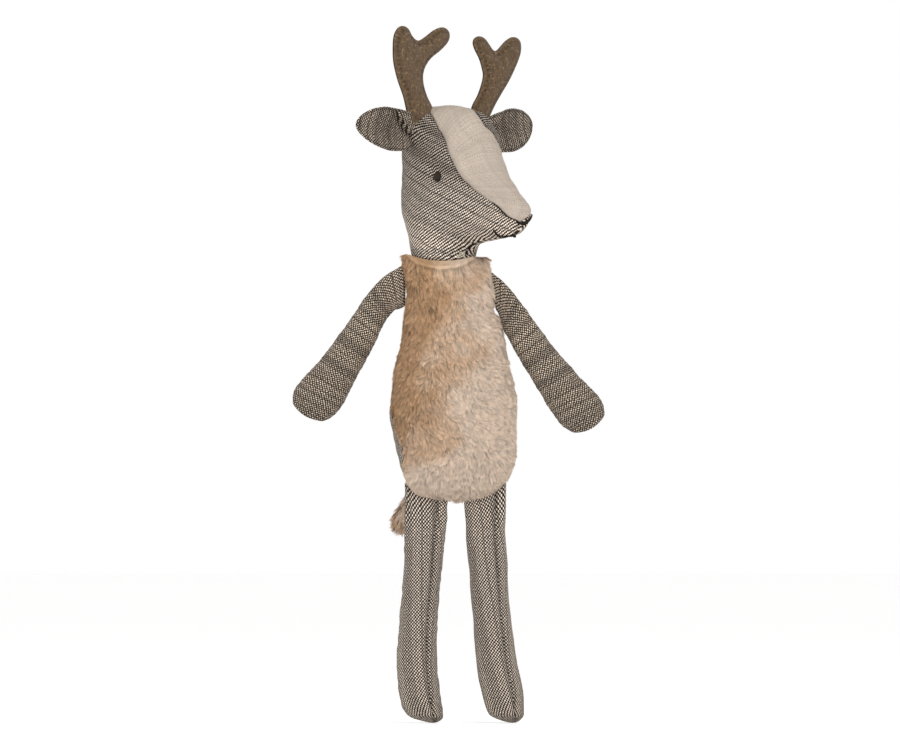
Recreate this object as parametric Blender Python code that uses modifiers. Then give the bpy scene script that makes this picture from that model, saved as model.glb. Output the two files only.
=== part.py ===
"""A stuffed cloth deer, about 31 cm from toe to antler tip.

Each sewn form is a cover of cloth panels around its own stuffing. Lengths are metres, +Z is up,
the chest faces -Y, and the head is turned towards the toy's own left.
"""

import math
from dataclasses import dataclass
from typing import Callable, Sequence

import bmesh
import bpy
import numpy as np
from mathutils import Matrix, Vector

# Where the toy stands in its frame
FRAME_SIDE = 0.0026
FRAME_DEPTH = 0.0033

# Cloth thicknesses and the clearances between pieces
TWEED = 0.0009
FUR = 0.0026
LINEN = 0.0008
FELT = 0.0010
PIECE_GAP = 0.0003
SEAM_GAP = 0.0004
CORE_EASE = 0.0009
HEAD_CORE_EASE = 0.0015
CUT_OVERRUN = 0.0500
MERGE_DISTANCE = 0.00002

# Torso
TORSO_BOTTOM = 0.1013
TORSO_TOP = 0.2106
TORSO_HALF_WIDTH = 0.0279
TORSO_HALF_DEPTH = 0.0187
TORSO_SHARES = (
    # height, sideways place, width, depth
    (0.985, -0.13, 0.71, 0.71),
    (0.90, -0.09, 0.71, 0.74),
    (0.77, -0.05, 0.76, 0.77),
    (0.63, -0.02, 0.84, 0.84),
    (0.49, 0.00, 0.94, 0.94),
    (0.34, 0.00, 1.02, 1.01),
    (0.20, 0.03, 0.99, 0.96),
    (0.105, 0.05, 0.91, 0.76),
    (0.045, 0.03, 0.78, 0.50),
    (0.010, 0.03, 0.60, 0.20),
)
TORSO_COLUMNS = 8
BACK_FLAT_HEIGHT = 0.1380
BACK_FLAT_CUT = 0.0005

# Neck: the stuffing turns and nods about one point, like a ball in a cup
NECK_SIDE = -0.0045
NECK_BALL_RADIUS = 0.0180
NECK_PIVOT_LIFT = 0.0100
NECK_HALF_WIDTH = 0.0152
NECK_GROWTH_SHARE = 0.10
NECK_PLUG_RADIUS = 0.0126
NECK_PLUG_HALF_HEIGHT = 0.0100
NECK_PLUG_LIFT = 0.0045

# Head, in its own frame: forward, towards its left, up from the collar
HEAD_TURN_DEG = 42.0
HEAD_CENTRE = (0.0140, 0.0, 0.0300)
HEAD_REACH = 0.1000
CRANIUM_CENTRE = (0.0061, 0.0, 0.0380)
CRANIUM_HALF = (0.0235, 0.0210, 0.0277)
CRANIUM_ROUND_POWER = 2.2
CRANIUM_HIGH_POWER = 4.0
MUZZLE_START = (0.0200, 0.0, 0.0345)
MUZZLE_START_RADIUS = 0.0168
MUZZLE_END = (0.0462, 0.0, 0.0170)
MUZZLE_END_RADIUS = 0.0081
JAW_START = (0.0085, 0.0, 0.0205)
JAW_START_RADIUS = 0.0138
JAW_END = (0.0435, 0.0, 0.0145)
JAW_END_RADIUS = 0.0074
HEAD_BLEND = 0.0060
HEAD_COLUMNS = 28
HEAD_ROWS = 7
BLAZE_ROWS = 3
BLAZE_HALF_WIDTH = 0.0182
BLAZE_SHARES = (
    # place round the profile from the nape to the nose, width
    (0.00, 0.00),
    (0.14, 0.50),
    (0.30, 0.92),
    (0.44, 1.00),
    (0.58, 0.90),
    (0.70, 0.84),
    (0.80, 0.62),
    (0.90, 0.44),
    (0.97, 0.24),
    (1.00, 0.00),
)
BLAZE_NAPE_DEG = -118.0
BLAZE_NOSE_DEG = 114.5

# Embroidery and eyes
EYE_PLACE = (0.0148, 0.0345)
EYE_HALF_WIDTH = 0.0017
EYE_HALF_HEIGHT = 0.0021
EYE_THICKNESS = 0.0008
NOSE_TOP_DEG = 116.5
NOSE_BOTTOM_DEG = 124.0
NOSE_HALF_WIDTH = 0.0052
NOSE_NARROWING_SHARE = 0.6
NOSE_THICKNESS = 0.0008
THREAD_RADIUS = 0.0004
MOUTH_PLACES = (
    # angle round the profile, sideways place
    (124.8, 0.0008),
    (126.4, 0.0030),
    (127.2, 0.0056),
    (126.2, 0.0078),
    (123.6, 0.0092),
)

# Ears
EAR_LENGTH = 0.0328
EAR_HALF_WIDTH = 0.0088
EAR_ROOT_FORWARD = 0.0010
EAR_ROOT_SIDE = 0.0206
EAR_ROOT_LIFT = 0.0532
EAR_CUP = 0.0034
EAR_LAYER = 0.0011
EAR_SHARES = (
    # along, width
    (0.0, 0.40),
    (0.16, 0.64),
    (0.42, 0.96),
    (0.66, 1.0),
    (0.86, 0.78),
    (0.97, 0.42),
    (1.0, 0.16),
)
EAR_COLUMNS = 6

# Antlers, in the plane across the head
ANTLER_FORWARD = 0.0066
ANTLER_HALF_THICKNESS = 0.0032
ANTLER_BASE = (0.0183, 0.0570)
ANTLER_BASE_RADIUS = 0.0052
ANTLER_FORK = (0.0258, 0.0850)
ANTLER_FORK_RADIUS = 0.0079
ANTLER_OUTER_TIP = (0.0335, 0.0986)
ANTLER_OUTER_RADIUS = 0.0046
ANTLER_INNER_TIP = (0.0122, 0.0975)
ANTLER_INNER_RADIUS = 0.0041
ANTLER_BLEND = 0.0020
ANTLER_LEFT_DROP = 0.0034
ANTLER_COLUMNS = 32
ANTLER_ROWS = 3

# Arms
ARM_RIGHT_LENGTH = 0.0735
ARM_LEFT_LENGTH = 0.0765
ARM_RIGHT_RISE = 0.0030
ARM_LEFT_RISE = 0.0004
ARM_SLANT_DEG = 34.0
ARM_HALF_WIDTH = 0.0106
ARM_HALF_DEPTH = 0.0076
ARM_SHARES = (
    # along, turn of the section towards the shoulder seam, rise, width, depth
    (0.004, 1.00, 0.0, 0.92, 0.16),
    (0.10, 0.62, 0.6, 0.76, 0.32),
    (0.24, 0.16, 1.0, 0.70, 0.66),
    (0.46, 0.00, 1.0, 0.77, 0.94),
    (0.68, -0.06, 1.0, 0.90, 1.00),
    (0.86, -0.10, 1.0, 1.04, 1.00),
    (0.965, -0.06, 1.0, 0.80, 0.68),
)
ARM_COLUMNS = 6
SHOULDER_RIGHT = (-0.0238, 0.0, 0.1978)
SHOULDER_LEFT = (0.0190, 0.0, 0.1955)
SHOULDER_RIGHT_LEAN_DEG = 0.0
SHOULDER_LEFT_LEAN_DEG = 12.0

# Legs
LEG_LENGTH = 0.1013
LEG_HALF_WIDTH = 0.0088
LEG_HALF_DEPTH = 0.0092
LEG_SHARES = (
    # along, width, depth
    (0.004, 1.12, 0.08),
    (0.07, 1.08, 0.24),
    (0.17, 1.02, 0.62),
    (0.34, 0.98, 0.96),
    (0.54, 0.98, 0.96),
    (0.72, 1.03, 0.98),
    (0.86, 1.07, 1.04),
    (0.962, 0.92, 0.86),
)
LEG_BEND_RIGHT_SHARES = (0.0, 0.0, -0.06, -0.26, -0.52, -0.62, -0.50, -0.22)
LEG_BEND_LEFT_SHARES = (0.0, 0.02, 0.06, 0.12, 0.24, 0.42, 0.72, 0.98)
LEG_TOE_RIGHT_SHARE = 0.05
LEG_TOE_LEFT_SHARE = 1.20
LEG_FOOT_SHARES = (0.0, 0.0, 0.0, 0.0, 0.0, 0.04, 0.20, 0.42)
LEG_TOE_FORWARD_SHARE = 0.60
LEG_COLUMNS = 6
HIP_RIGHT = (-0.0122, 0.0, 0.1015)
HIP_LEFT = (0.0142, 0.0, 0.1015)

# Tail
TAIL_ROOT = (-0.0050, 0.0154, 0.1150)
TAIL_TIP_STEP = (-0.0190, 0.0110, -0.0260)
TAIL_HALF_WIDTH = 0.0062
TAIL_SHARES = ((0.06, 0.50), (0.30, 0.86), (0.60, 1.00), (0.86, 0.80))
TAIL_COLUMNS = 6

# Share that makes up for the rounding of a coarse cage
CAGE_GROWTH_SHARE = 1.16
CORE_SEGMENTS = 16
CORE_RINGS = 8
CUT_BALL_SEGMENTS = 32
CUT_BALL_RINGS = 16
SUBDIVISIONS = 1

Field = Callable[[np.ndarray], np.ndarray]


@dataclass(frozen=True)
class Finish:
    """Colour and sheen of one kind of cloth or thread."""

    name: str
    colour: tuple[float, float, float]
    roughness: float
    metallic: float = 0.0

    def material(self) -> bpy.types.Material:
        """Return a new Principled material for one piece."""
        made = bpy.data.materials.new(self.name)
        made.use_nodes = True
        shader = made.node_tree.nodes["Principled BSDF"]
        shader.inputs["Base Color"].default_value = (*self.colour, 1.0)
        shader.inputs["Roughness"].default_value = self.roughness
        shader.inputs["Metallic"].default_value = self.metallic
        made.diffuse_color = (*self.colour, 1.0)
        return made


TWEED_CLOTH = Finish("tweed", (0.16, 0.135, 0.115), 0.92)
FUR_CLOTH = Finish("fur_cloth", (0.50, 0.36, 0.24), 0.95)
LINEN_CLOTH = Finish("linen", (0.60, 0.50, 0.42), 0.90)
FELT_CLOTH = Finish("felt", (0.13, 0.085, 0.05), 0.95)
STUFFING = Finish("stuffing", (0.85, 0.84, 0.80), 0.98)
THREAD = Finish("thread", (0.03, 0.022, 0.018), 0.70)


@dataclass(frozen=True)
class Ring:
    """One cross-section of a stuffed form."""

    centre: Vector
    seam_way: Vector
    thick_way: Vector
    half_seam: float
    half_thick: float


@dataclass(frozen=True)
class Form:
    """A stuffed form: rings from one end to the other, and its two ends."""

    rings: Sequence[Ring]
    start: Vector
    end: Vector
    columns: int


class Side:
    """Which half of a form a panel covers."""

    LOW = -1
    HIGH = 1


def clear_scene() -> None:
    """Remove the objects of the opened scene."""
    for item in list(bpy.data.objects):
        bpy.data.objects.remove(item, do_unlink=True)


def new_collection(name: str) -> bpy.types.Collection:
    """Return a new collection linked to the scene."""
    made = bpy.data.collections.new(name)
    bpy.context.scene.collection.children.link(made)
    return made


def new_empty(name: str, parent, place, collection, turn_deg: float = 0.0) -> bpy.types.Object:
    """Return an empty at a place in its parent's frame, turned about Z."""
    made = bpy.data.objects.new(name, None)
    made.parent = parent
    made.location = place
    made.rotation_euler = (0.0, 0.0, math.radians(turn_deg))
    made.empty_display_size = NECK_BALL_RADIUS
    collection.objects.link(made)
    return made


def object_from(bm: bmesh.types.BMesh, name: str, parent, finish: Finish, collection):
    """Return an object that holds a finished bmesh and its own material."""
    bmesh.ops.recalc_face_normals(bm, faces=bm.faces)
    if bm.calc_volume(signed=True) < 0.0:
        bmesh.ops.reverse_faces(bm, faces=bm.faces)
    mesh = bpy.data.meshes.new(name)
    bm.to_mesh(mesh)
    bm.free()
    mesh.shade_smooth()
    made = bpy.data.objects.new(name, mesh)
    made.parent = parent
    if finish is not None:
        mesh.materials.append(finish.material())
    collection.objects.link(made)
    return made


def as_cutter(item: bpy.types.Object) -> bpy.types.Object:
    """Mark an object as a cutter, which is not a piece."""
    item.hide_render = True
    item.display_type = "WIRE"
    return item


def cut(item: bpy.types.Object, cutter: bpy.types.Object, name: str) -> None:
    """Take a cutter out of an object."""
    step = item.modifiers.new(name, "BOOLEAN")
    step.operation = "DIFFERENCE"
    step.solver = "EXACT"
    step.object = cutter


def subdivide(item: bpy.types.Object) -> None:
    """Round a coarse cage."""
    step = item.modifiers.new("rounding", "SUBSURF")
    step.levels = SUBDIVISIONS
    step.render_levels = SUBDIVISIONS


def crease_layer(bm: bmesh.types.BMesh):
    """Return the layer that holds an edge's crease."""
    return bm.edges.layers.float.get("crease_edge") or bm.edges.layers.float.new("crease_edge")


def unit_ball(columns: int, rows: int) -> bmesh.types.BMesh:
    """Return a unit sphere whose first column of points lies at +X."""
    bm = bmesh.new()
    bmesh.ops.create_uvsphere(bm, u_segments=columns, v_segments=rows, radius=1.0)
    bmesh.ops.rotate(bm, verts=bm.verts, matrix=Matrix.Rotation(-math.pi / 2.0, 3, "Z"))
    return bm


def drawn_in(half: float, inset: float) -> float:
    """Return a half size less an inset, never below zero however thin the section is."""
    if inset <= 0.0:
        return half - inset
    return half * half / (half + inset)


def form_point(form: Form, unit: Vector, inset: float) -> Vector:
    """Return where a unit sphere's point lies on a form drawn in by an inset."""
    rows = len(form.rings) + 1
    row = round(math.acos(max(-1.0, min(1.0, unit.z))) / math.pi * rows)
    if row == 0:
        way = (form.rings[0].centre - form.start).normalized()
        return form.start + way * inset
    if row == rows:
        way = (form.rings[-1].centre - form.end).normalized()
        return form.end + way * inset
    ring = form.rings[row - 1]
    angle = math.atan2(unit.y, unit.x)
    step = 2.0 * math.pi / form.columns
    angle = round(angle / step) * step
    seam = drawn_in(ring.half_seam, inset)
    thick = drawn_in(ring.half_thick, inset) * CAGE_GROWTH_SHARE
    return ring.centre + ring.seam_way * (seam * math.cos(angle)) + ring.thick_way * (thick * math.sin(angle))


def stuffed_core(form: Form, inset: float) -> bmesh.types.BMesh:
    """Return the closed cage of a form drawn in by an inset, with its seams creased."""
    bm = unit_ball(form.columns, len(form.rings) + 1)
    crease = crease_layer(bm)
    for edge in bm.edges:
        if all(abs(v.co.y) < MERGE_DISTANCE for v in edge.verts):
            edge[crease] = 1.0
    for vert in bm.verts:
        vert.co = form_point(form, vert.co.copy(), inset)
    return bm


def stuffed_panel(form: Form, side: int, cloth: float) -> bmesh.types.BMesh:
    """Return the cage of the cloth panel over one half of a form."""
    bm = unit_ball(form.columns, len(form.rings) + 1)
    away = [v for v in bm.verts if v.co.y * side < -MERGE_DISTANCE]
    bmesh.ops.delete(bm, geom=away, context="VERTS")
    outer = {v: v.co.copy() for v in bm.verts}
    grown = bmesh.ops.extrude_face_region(bm, geom=bm.faces[:], use_keep_orig=True)
    inner = [item for item in grown["geom"] if isinstance(item, bmesh.types.BMVert)]
    units = {v: v.co.copy() for v in inner}
    crease = crease_layer(bm)
    for edge in bm.edges:
        if all(abs(v.co.y) < MERGE_DISTANCE for v in edge.verts):
            edge[crease] = 1.0
    ring = form.rings[len(form.rings) // 2]
    shift = ring.thick_way * (side * SEAM_GAP / 2.0)
    for vert, unit in outer.items():
        vert.co = form_point(form, unit, 0.0) + shift
    for vert, unit in units.items():
        vert.co = form_point(form, unit, cloth) + shift
    return bm


def power_length(points: np.ndarray, half: Sequence[float]) -> np.ndarray:
    """Return how far points lie from a rounded box's centre, in shares of its half sizes."""
    scaled = np.abs(points) / np.array(half)
    flat = (scaled[:, 0] ** CRANIUM_ROUND_POWER + scaled[:, 1] ** CRANIUM_ROUND_POWER) ** (
        1.0 / CRANIUM_ROUND_POWER
    )
    return (flat**CRANIUM_HIGH_POWER + scaled[:, 2] ** CRANIUM_HIGH_POWER) ** (1.0 / CRANIUM_HIGH_POWER)


def cone_distance(points: np.ndarray, start, end, start_radius: float, end_radius: float) -> np.ndarray:
    """Return distances to a round-ended cone."""
    first = np.array(start)
    axis = np.array(end) - first
    share = np.clip((points - first) @ axis / (axis @ axis), 0.0, 1.0)
    nearest = first + share[:, None] * axis
    radius = start_radius + share * (end_radius - start_radius)
    return np.linalg.norm(points - nearest, axis=1) - radius


def smooth_least(a: np.ndarray, b: np.ndarray, width: float) -> np.ndarray:
    """Return the lower of two distances, rounded where they meet."""
    share = np.clip(0.5 + 0.5 * (b - a) / width, 0.0, 1.0)
    return b + (a - b) * share - width * share * (1.0 - share)


def head_field(points: np.ndarray) -> np.ndarray:
    """Return distances to the head: skull, muzzle, jaw and neck."""
    skull_share = power_length(points - np.array(CRANIUM_CENTRE), CRANIUM_HALF)
    skull = (skull_share - 1.0) * min(CRANIUM_HALF)
    muzzle = cone_distance(points, MUZZLE_START, MUZZLE_END, MUZZLE_START_RADIUS, MUZZLE_END_RADIUS)
    jaw = cone_distance(points, JAW_START, JAW_END, JAW_START_RADIUS, JAW_END_RADIUS)
    lift = np.array((0.0, 0.0, NECK_PIVOT_LIFT))
    width = NECK_HALF_WIDTH + np.clip(points[:, 2], 0.0, None) * NECK_GROWTH_SHARE
    column = np.linalg.norm(points[:, :2], axis=1) - width
    ball = np.linalg.norm(points - lift, axis=1) - NECK_BALL_RADIUS
    column = np.where(points[:, 2] < NECK_PIVOT_LIFT, np.maximum(column, ball), column)
    column = np.maximum(column, points[:, 2] - HEAD_CENTRE[2])
    face = smooth_least(muzzle, jaw, HEAD_BLEND)
    face = smooth_least(face, skull, HEAD_BLEND)
    return smooth_least(face, column, HEAD_BLEND)


def antler_field(points: np.ndarray) -> np.ndarray:
    """Return distances to an antler in (across, up, thickness) with the thickness stretched."""
    flat = points * np.array((1.0, 1.0, ANTLER_FORK_RADIUS / ANTLER_HALF_THICKNESS))
    fork = (*ANTLER_FORK, 0.0)
    stem = cone_distance(flat, (*ANTLER_BASE, 0.0), fork, ANTLER_BASE_RADIUS, ANTLER_FORK_RADIUS)
    outer = cone_distance(flat, fork, (*ANTLER_OUTER_TIP, 0.0), ANTLER_FORK_RADIUS, ANTLER_OUTER_RADIUS)
    inner = cone_distance(flat, fork, (*ANTLER_INNER_TIP, 0.0), ANTLER_FORK_RADIUS, ANTLER_INNER_RADIUS)
    tips = smooth_least(outer, inner, ANTLER_BLEND)
    return smooth_least(stem, tips, ANTLER_BLEND)


def ray_lengths(field: Field, centre, ways: np.ndarray, inset: float) -> np.ndarray:
    """Return how far from a centre each ray meets a form drawn in by an inset."""
    low = np.zeros(len(ways))
    high = np.full(len(ways), HEAD_REACH)
    for _ in range(40):
        middle = (low + high) / 2.0
        inside = field(np.array(centre) + ways * middle[:, None]) < -inset
        low = np.where(inside, middle, low)
        high = np.where(inside, high, middle)
    return (low + high) / 2.0


@dataclass(frozen=True)
class RayForm:
    """A form seen from a centre inside it: a profile in one plane, swollen across that plane."""

    field: Field
    centre: tuple[float, float, float]
    along: tuple[float, float, float]
    up: tuple[float, float, float]
    across: tuple[float, float, float]

    def ways(self, profile: np.ndarray, swell: np.ndarray) -> np.ndarray:
        """Return unit directions for angles round the profile and out of its plane."""
        flat = np.cos(profile)[:, None] * np.array(self.up) + np.sin(profile)[:, None] * np.array(self.along)
        return np.cos(swell)[:, None] * flat + np.sin(swell)[:, None] * np.array(self.across)

    def points(self, profile: np.ndarray, swell: np.ndarray, inset: float) -> np.ndarray:
        """Return the surface points in the given directions."""
        ways = self.ways(profile, swell)
        return np.array(self.centre) + ways * ray_lengths(self.field, self.centre, ways, inset)[:, None]

    def even_profile(self, shares: np.ndarray) -> np.ndarray:
        """Return the profile angles at even steps of length round the outline."""
        fine = np.linspace(-math.pi, math.pi, 721)
        outline = self.points(fine, np.zeros_like(fine), 0.0)
        steps = np.linalg.norm(np.diff(outline, axis=0), axis=1)
        length = np.concatenate([[0.0], np.cumsum(steps)])
        return np.interp(shares * length[-1], length, fine)

    def meridian(self, profile: float, low: float, shares: np.ndarray) -> np.ndarray:
        """Return swell angles at even steps of length from a low angle to the pole."""
        fine = np.linspace(low, math.pi / 2.0, 61)
        line = self.points(np.full_like(fine, profile), fine, 0.0)
        length = np.concatenate([[0.0], np.cumsum(np.linalg.norm(np.diff(line, axis=0), axis=1))])
        return np.interp(shares * length[-1], length, fine)

    def swell_at(self, profile: float, distance: float) -> float:
        """Return the swell angle at which the surface lies a distance out of the plane."""
        fine = np.linspace(0.0, math.pi / 2.0, 181)
        line = self.points(np.full_like(fine, profile), fine, 0.0) - np.array(self.centre)
        return float(np.interp(distance, line @ np.array(self.across), fine))


HEAD = RayForm(head_field, HEAD_CENTRE, (1.0, 0.0, 0.0), (0.0, 0.0, 1.0), (0.0, 1.0, 0.0))
ANTLER = RayForm(antler_field, (*ANTLER_FORK, 0.0), (1.0, 0.0, 0.0), (0.0, 1.0, 0.0), (0.0, 0.0, 1.0))


def blaze_half_width(profile: float) -> float:
    """Return the face panel's half width at an angle round the profile."""
    share = (math.degrees(profile) - BLAZE_NAPE_DEG) / (BLAZE_NOSE_DEG - BLAZE_NAPE_DEG)
    places = [row[0] for row in BLAZE_SHARES]
    widths = [row[1] for row in BLAZE_SHARES]
    return BLAZE_HALF_WIDTH * float(np.interp(share, places, widths, left=0.0, right=0.0))


def no_width(_profile: float) -> float:
    """Return the width of a seam that has no panel in it."""
    return 0.0


def ray_panel(form: RayForm, columns: int, rows: int, edge, insets, side: int) -> bmesh.types.BMesh:
    """Return a shell or a half core over one side of a ray form.

    The seam lies at edge(profile) from the middle plane, and insets are the outer and inner depth.
    """
    bm = unit_ball(columns, rows * 2)
    away = [v for v in bm.verts if v.co.z < -MERGE_DISTANCE]
    bmesh.ops.delete(bm, geom=away, context="VERTS")
    layers = [(list(bm.verts), insets[0])]
    units = {v: v.co.copy() for v in bm.verts}
    grown = bmesh.ops.extrude_face_region(bm, geom=bm.faces[:], use_keep_orig=True)
    inner = [item for item in grown["geom"] if isinstance(item, bmesh.types.BMVert)]
    units.update({v: v.co.copy() for v in inner})
    layers.append((inner, insets[1]))
    profiles, swells = panel_grid(form, columns, rows, edge)
    for verts, inset in layers:
        place_on_grid(form, verts, units, profiles, swells, inset, side)
    return bm


def panel_grid(form: RayForm, columns: int, rows: int, edge) -> tuple[np.ndarray, np.ndarray]:
    """Return the profile angle of each column and the swell angle of each row in it."""
    profiles = form.even_profile(np.arange(columns) / columns)
    shares = np.linspace(0.0, 1.0, rows + 1)
    swells = []
    for profile in profiles:
        low = form.swell_at(profile, edge(profile) + SEAM_GAP / 2.0)
        swells.append(form.meridian(profile, low, shares))
    return profiles, np.array(swells)


def place_on_grid(form, verts, units, profiles, swells, inset: float, side: int) -> None:
    """Move a half sphere's points to their places on a ray form."""
    columns = len(profiles)
    rows = swells.shape[1] - 1
    for vert in verts:
        unit = units[vert]
        row = round(math.asin(max(-1.0, min(1.0, unit.z))) / (math.pi / 2.0) * rows)
        column = round(math.atan2(unit.y, unit.x) / (2.0 * math.pi) * columns) % columns
        profile = np.array([profiles[column]])
        swell = np.array([swells[column, row]]) * side
        vert.co = Vector(form.points(profile, swell, inset)[0])


def ray_core(form: RayForm, columns: int, rows: int, inset: float) -> bmesh.types.BMesh:
    """Return the closed body of a ray form drawn in by an inset."""
    bm = unit_ball(columns, rows * 2)
    profiles = form.even_profile(np.arange(columns) / columns)
    shares = np.linspace(0.0, 1.0, rows + 1)
    swells = np.array([form.meridian(profile, 0.0, shares) for profile in profiles])
    units = {v: v.co.copy() for v in bm.verts}
    upper = [v for v in bm.verts if v.co.z > -MERGE_DISTANCE]
    lower = [v for v in bm.verts if v.co.z <= -MERGE_DISTANCE]
    for vert in lower:
        units[vert].z = -units[vert].z
    place_on_grid(form, upper, units, profiles, swells, inset, 1)
    place_on_grid(form, lower, units, profiles, swells, inset, -1)
    return bm


def blaze_panel(insets) -> bmesh.types.BMesh:
    """Return the linen panel between the two sides of the head."""
    bm = bmesh.new()
    columns = HEAD_COLUMNS
    rows = BLAZE_ROWS * 2
    bmesh.ops.create_grid(bm, x_segments=columns, y_segments=rows, size=1.0)
    units = {v: v.co.copy() for v in bm.verts}
    outer = list(bm.verts)
    grown = bmesh.ops.extrude_face_region(bm, geom=bm.faces[:], use_keep_orig=True)
    inner = [item for item in grown["geom"] if isinstance(item, bmesh.types.BMVert)]
    units.update({v: v.co.copy() for v in inner})
    nape = math.radians(BLAZE_NAPE_DEG)
    nose = math.radians(BLAZE_NOSE_DEG)
    for verts, inset in ((outer, insets[0]), (inner, insets[1])):
        for vert in verts:
            unit = units[vert]
            profile = nape + (nose - nape) * (unit.x + 1.0) / 2.0
            half = max(blaze_half_width(profile) - SEAM_GAP / 2.0, 0.0)
            swell = HEAD.swell_at(profile, half) * unit.y
            place = HEAD.points(np.array([profile]), np.array([swell]), inset)[0]
            vert.co = Vector(place)
    bmesh.ops.remove_doubles(bm, verts=bm.verts, dist=MERGE_DISTANCE)
    return bm


def nose_patch() -> bmesh.types.BMesh:
    """Return the embroidered nose, a wedge that narrows downwards under the face panel."""
    bm = bmesh.new()
    bmesh.ops.create_grid(bm, x_segments=3, y_segments=6, size=1.0)
    units = {v: v.co.copy() for v in bm.verts}
    outer = list(bm.verts)
    grown = bmesh.ops.extrude_face_region(bm, geom=bm.faces[:], use_keep_orig=True)
    inner = [item for item in grown["geom"] if isinstance(item, bmesh.types.BMVert)]
    units.update({v: v.co.copy() for v in inner})
    top = math.radians(NOSE_TOP_DEG)
    bottom = math.radians(NOSE_BOTTOM_DEG)
    for verts, inset in ((outer, -PIECE_GAP - NOSE_THICKNESS), (inner, -PIECE_GAP)):
        for vert in verts:
            unit = units[vert]
            down = (unit.x + 1.0) / 2.0
            half = NOSE_HALF_WIDTH * (1.0 - down * NOSE_NARROWING_SHARE)
            profile = top + (bottom - top) * down
            swell = HEAD.swell_at(profile, half) * unit.y
            vert.co = Vector(HEAD.points(np.array([profile]), np.array([swell]), inset)[0])
    return bm


def eye_body(side: int) -> tuple[bmesh.types.BMesh, Matrix]:
    """Return a stitched eye's dome and its place on the side of the head."""
    bm = bmesh.new()
    bmesh.ops.create_uvsphere(bm, u_segments=12, v_segments=8, radius=1.0)
    bmesh.ops.bisect_plane(
        bm, geom=bm.verts[:] + bm.edges[:] + bm.faces[:], plane_co=(0, 0, 0), plane_no=(0, 0, -1),
        clear_outer=True, dist=MERGE_DISTANCE,
    )
    bmesh.ops.holes_fill(bm, edges=bm.edges[:], sides=0)
    bmesh.ops.scale(bm, verts=bm.verts, vec=(EYE_HALF_WIDTH, EYE_HALF_HEIGHT, EYE_THICKNESS))
    centre = Vector(HEAD_CENTRE)
    flat = Vector((EYE_PLACE[0], 0.0, EYE_PLACE[1])) - centre
    profile = math.atan2(flat.x, flat.z)
    fine = np.linspace(0.0, math.pi / 2.0, 181)
    line = HEAD.points(np.full_like(fine, profile), fine * side, 0.0)
    reach = np.hypot(line[:, 0] - centre.x, line[:, 2] - centre.z)
    swell = float(np.interp(-flat.length, -reach, fine)) * side
    step = math.radians(1.0)
    spots = HEAD.points(
        np.array([profile, profile + step, profile]), np.array([swell, swell, swell + step]), 0.0
    )
    spot = Vector(spots[0])
    normal = (Vector(spots[1]) - spot).cross(Vector(spots[2]) - spot).normalized()
    if normal.y * side < 0.0:
        normal = -normal
    upright = (Vector((0.0, 0.0, 1.0)) - normal * normal.z).normalized()
    sideways = upright.cross(normal)
    turn = Matrix((sideways, upright, normal)).transposed().to_4x4()
    return bm, Matrix.Translation(spot + normal * PIECE_GAP) @ turn


def mouth_thread(parent, collection) -> bpy.types.Object:
    """Return the stitched mouth, one thread along the lips from side to side."""
    left = [(angle, -place) for angle, place in reversed(MOUTH_PLACES)]
    places = left + list(MOUTH_PLACES)
    curve = bpy.data.curves.new("mouth_stitch", "CURVE")
    curve.dimensions = "3D"
    curve.bevel_depth = THREAD_RADIUS
    curve.bevel_resolution = 1
    curve.use_fill_caps = True
    line = curve.splines.new("POLY")
    line.points.add(len(places) - 1)
    for point, (angle, place) in zip(line.points, places):
        profile = math.radians(angle)
        swell = HEAD.swell_at(profile, abs(place)) * math.copysign(1.0, place)
        spot = HEAD.points(np.array([profile]), np.array([swell]), -PIECE_GAP - THREAD_RADIUS)[0]
        point.co = (*spot, 1.0)
    made = bpy.data.objects.new("mouth_stitch", curve)
    made.parent = parent
    curve.materials.append(THREAD.material())
    collection.objects.link(made)
    return made


def torso_form() -> Form:
    """Return the torso from the collar down to the bottom seam."""
    height = TORSO_TOP - TORSO_BOTTOM
    rings = []
    for place, aside, width, depth in TORSO_SHARES:
        centre = Vector((aside * TORSO_HALF_WIDTH, 0.0, TORSO_BOTTOM + place * height))
        rings.append(
            Ring(centre, Vector((1, 0, 0)), Vector((0, 1, 0)), width * TORSO_HALF_WIDTH, depth * TORSO_HALF_DEPTH)
        )
    start = Vector((rings[0].centre.x, 0.0, TORSO_TOP))
    end = Vector((rings[-1].centre.x, 0.0, TORSO_BOTTOM))
    return Form(rings, start, end, TORSO_COLUMNS)


def arm_form(side: int, length: float, rise: float, lean_deg: float) -> Form:
    """Return an arm from its shoulder seam, with -1 for the toy's right.

    The rise is how far the arm's middle runs above the middle of its seam.
    """
    slant = math.radians(ARM_SLANT_DEG)
    root = math.radians(90.0 + lean_deg)
    down = Vector((math.sin(slant) * side, 0.0, -math.cos(slant)))
    up = Vector((math.cos(slant) * side, 0.0, math.sin(slant))) * rise
    rings = []
    for place, turn, step, width, depth in ARM_SHARES:
        angle = slant + (root - slant) * turn
        seam_way = Vector((-math.cos(angle) * side, 0.0, -math.sin(angle)))
        rings.append(
            Ring(down * (place * length) + up * step, seam_way, Vector((0, 1, 0)), width * ARM_HALF_WIDTH,
                 depth * ARM_HALF_DEPTH)
        )
    return Form(rings, Vector((0.0, 0.0, 0.0)), down * length + up, ARM_COLUMNS)


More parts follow.
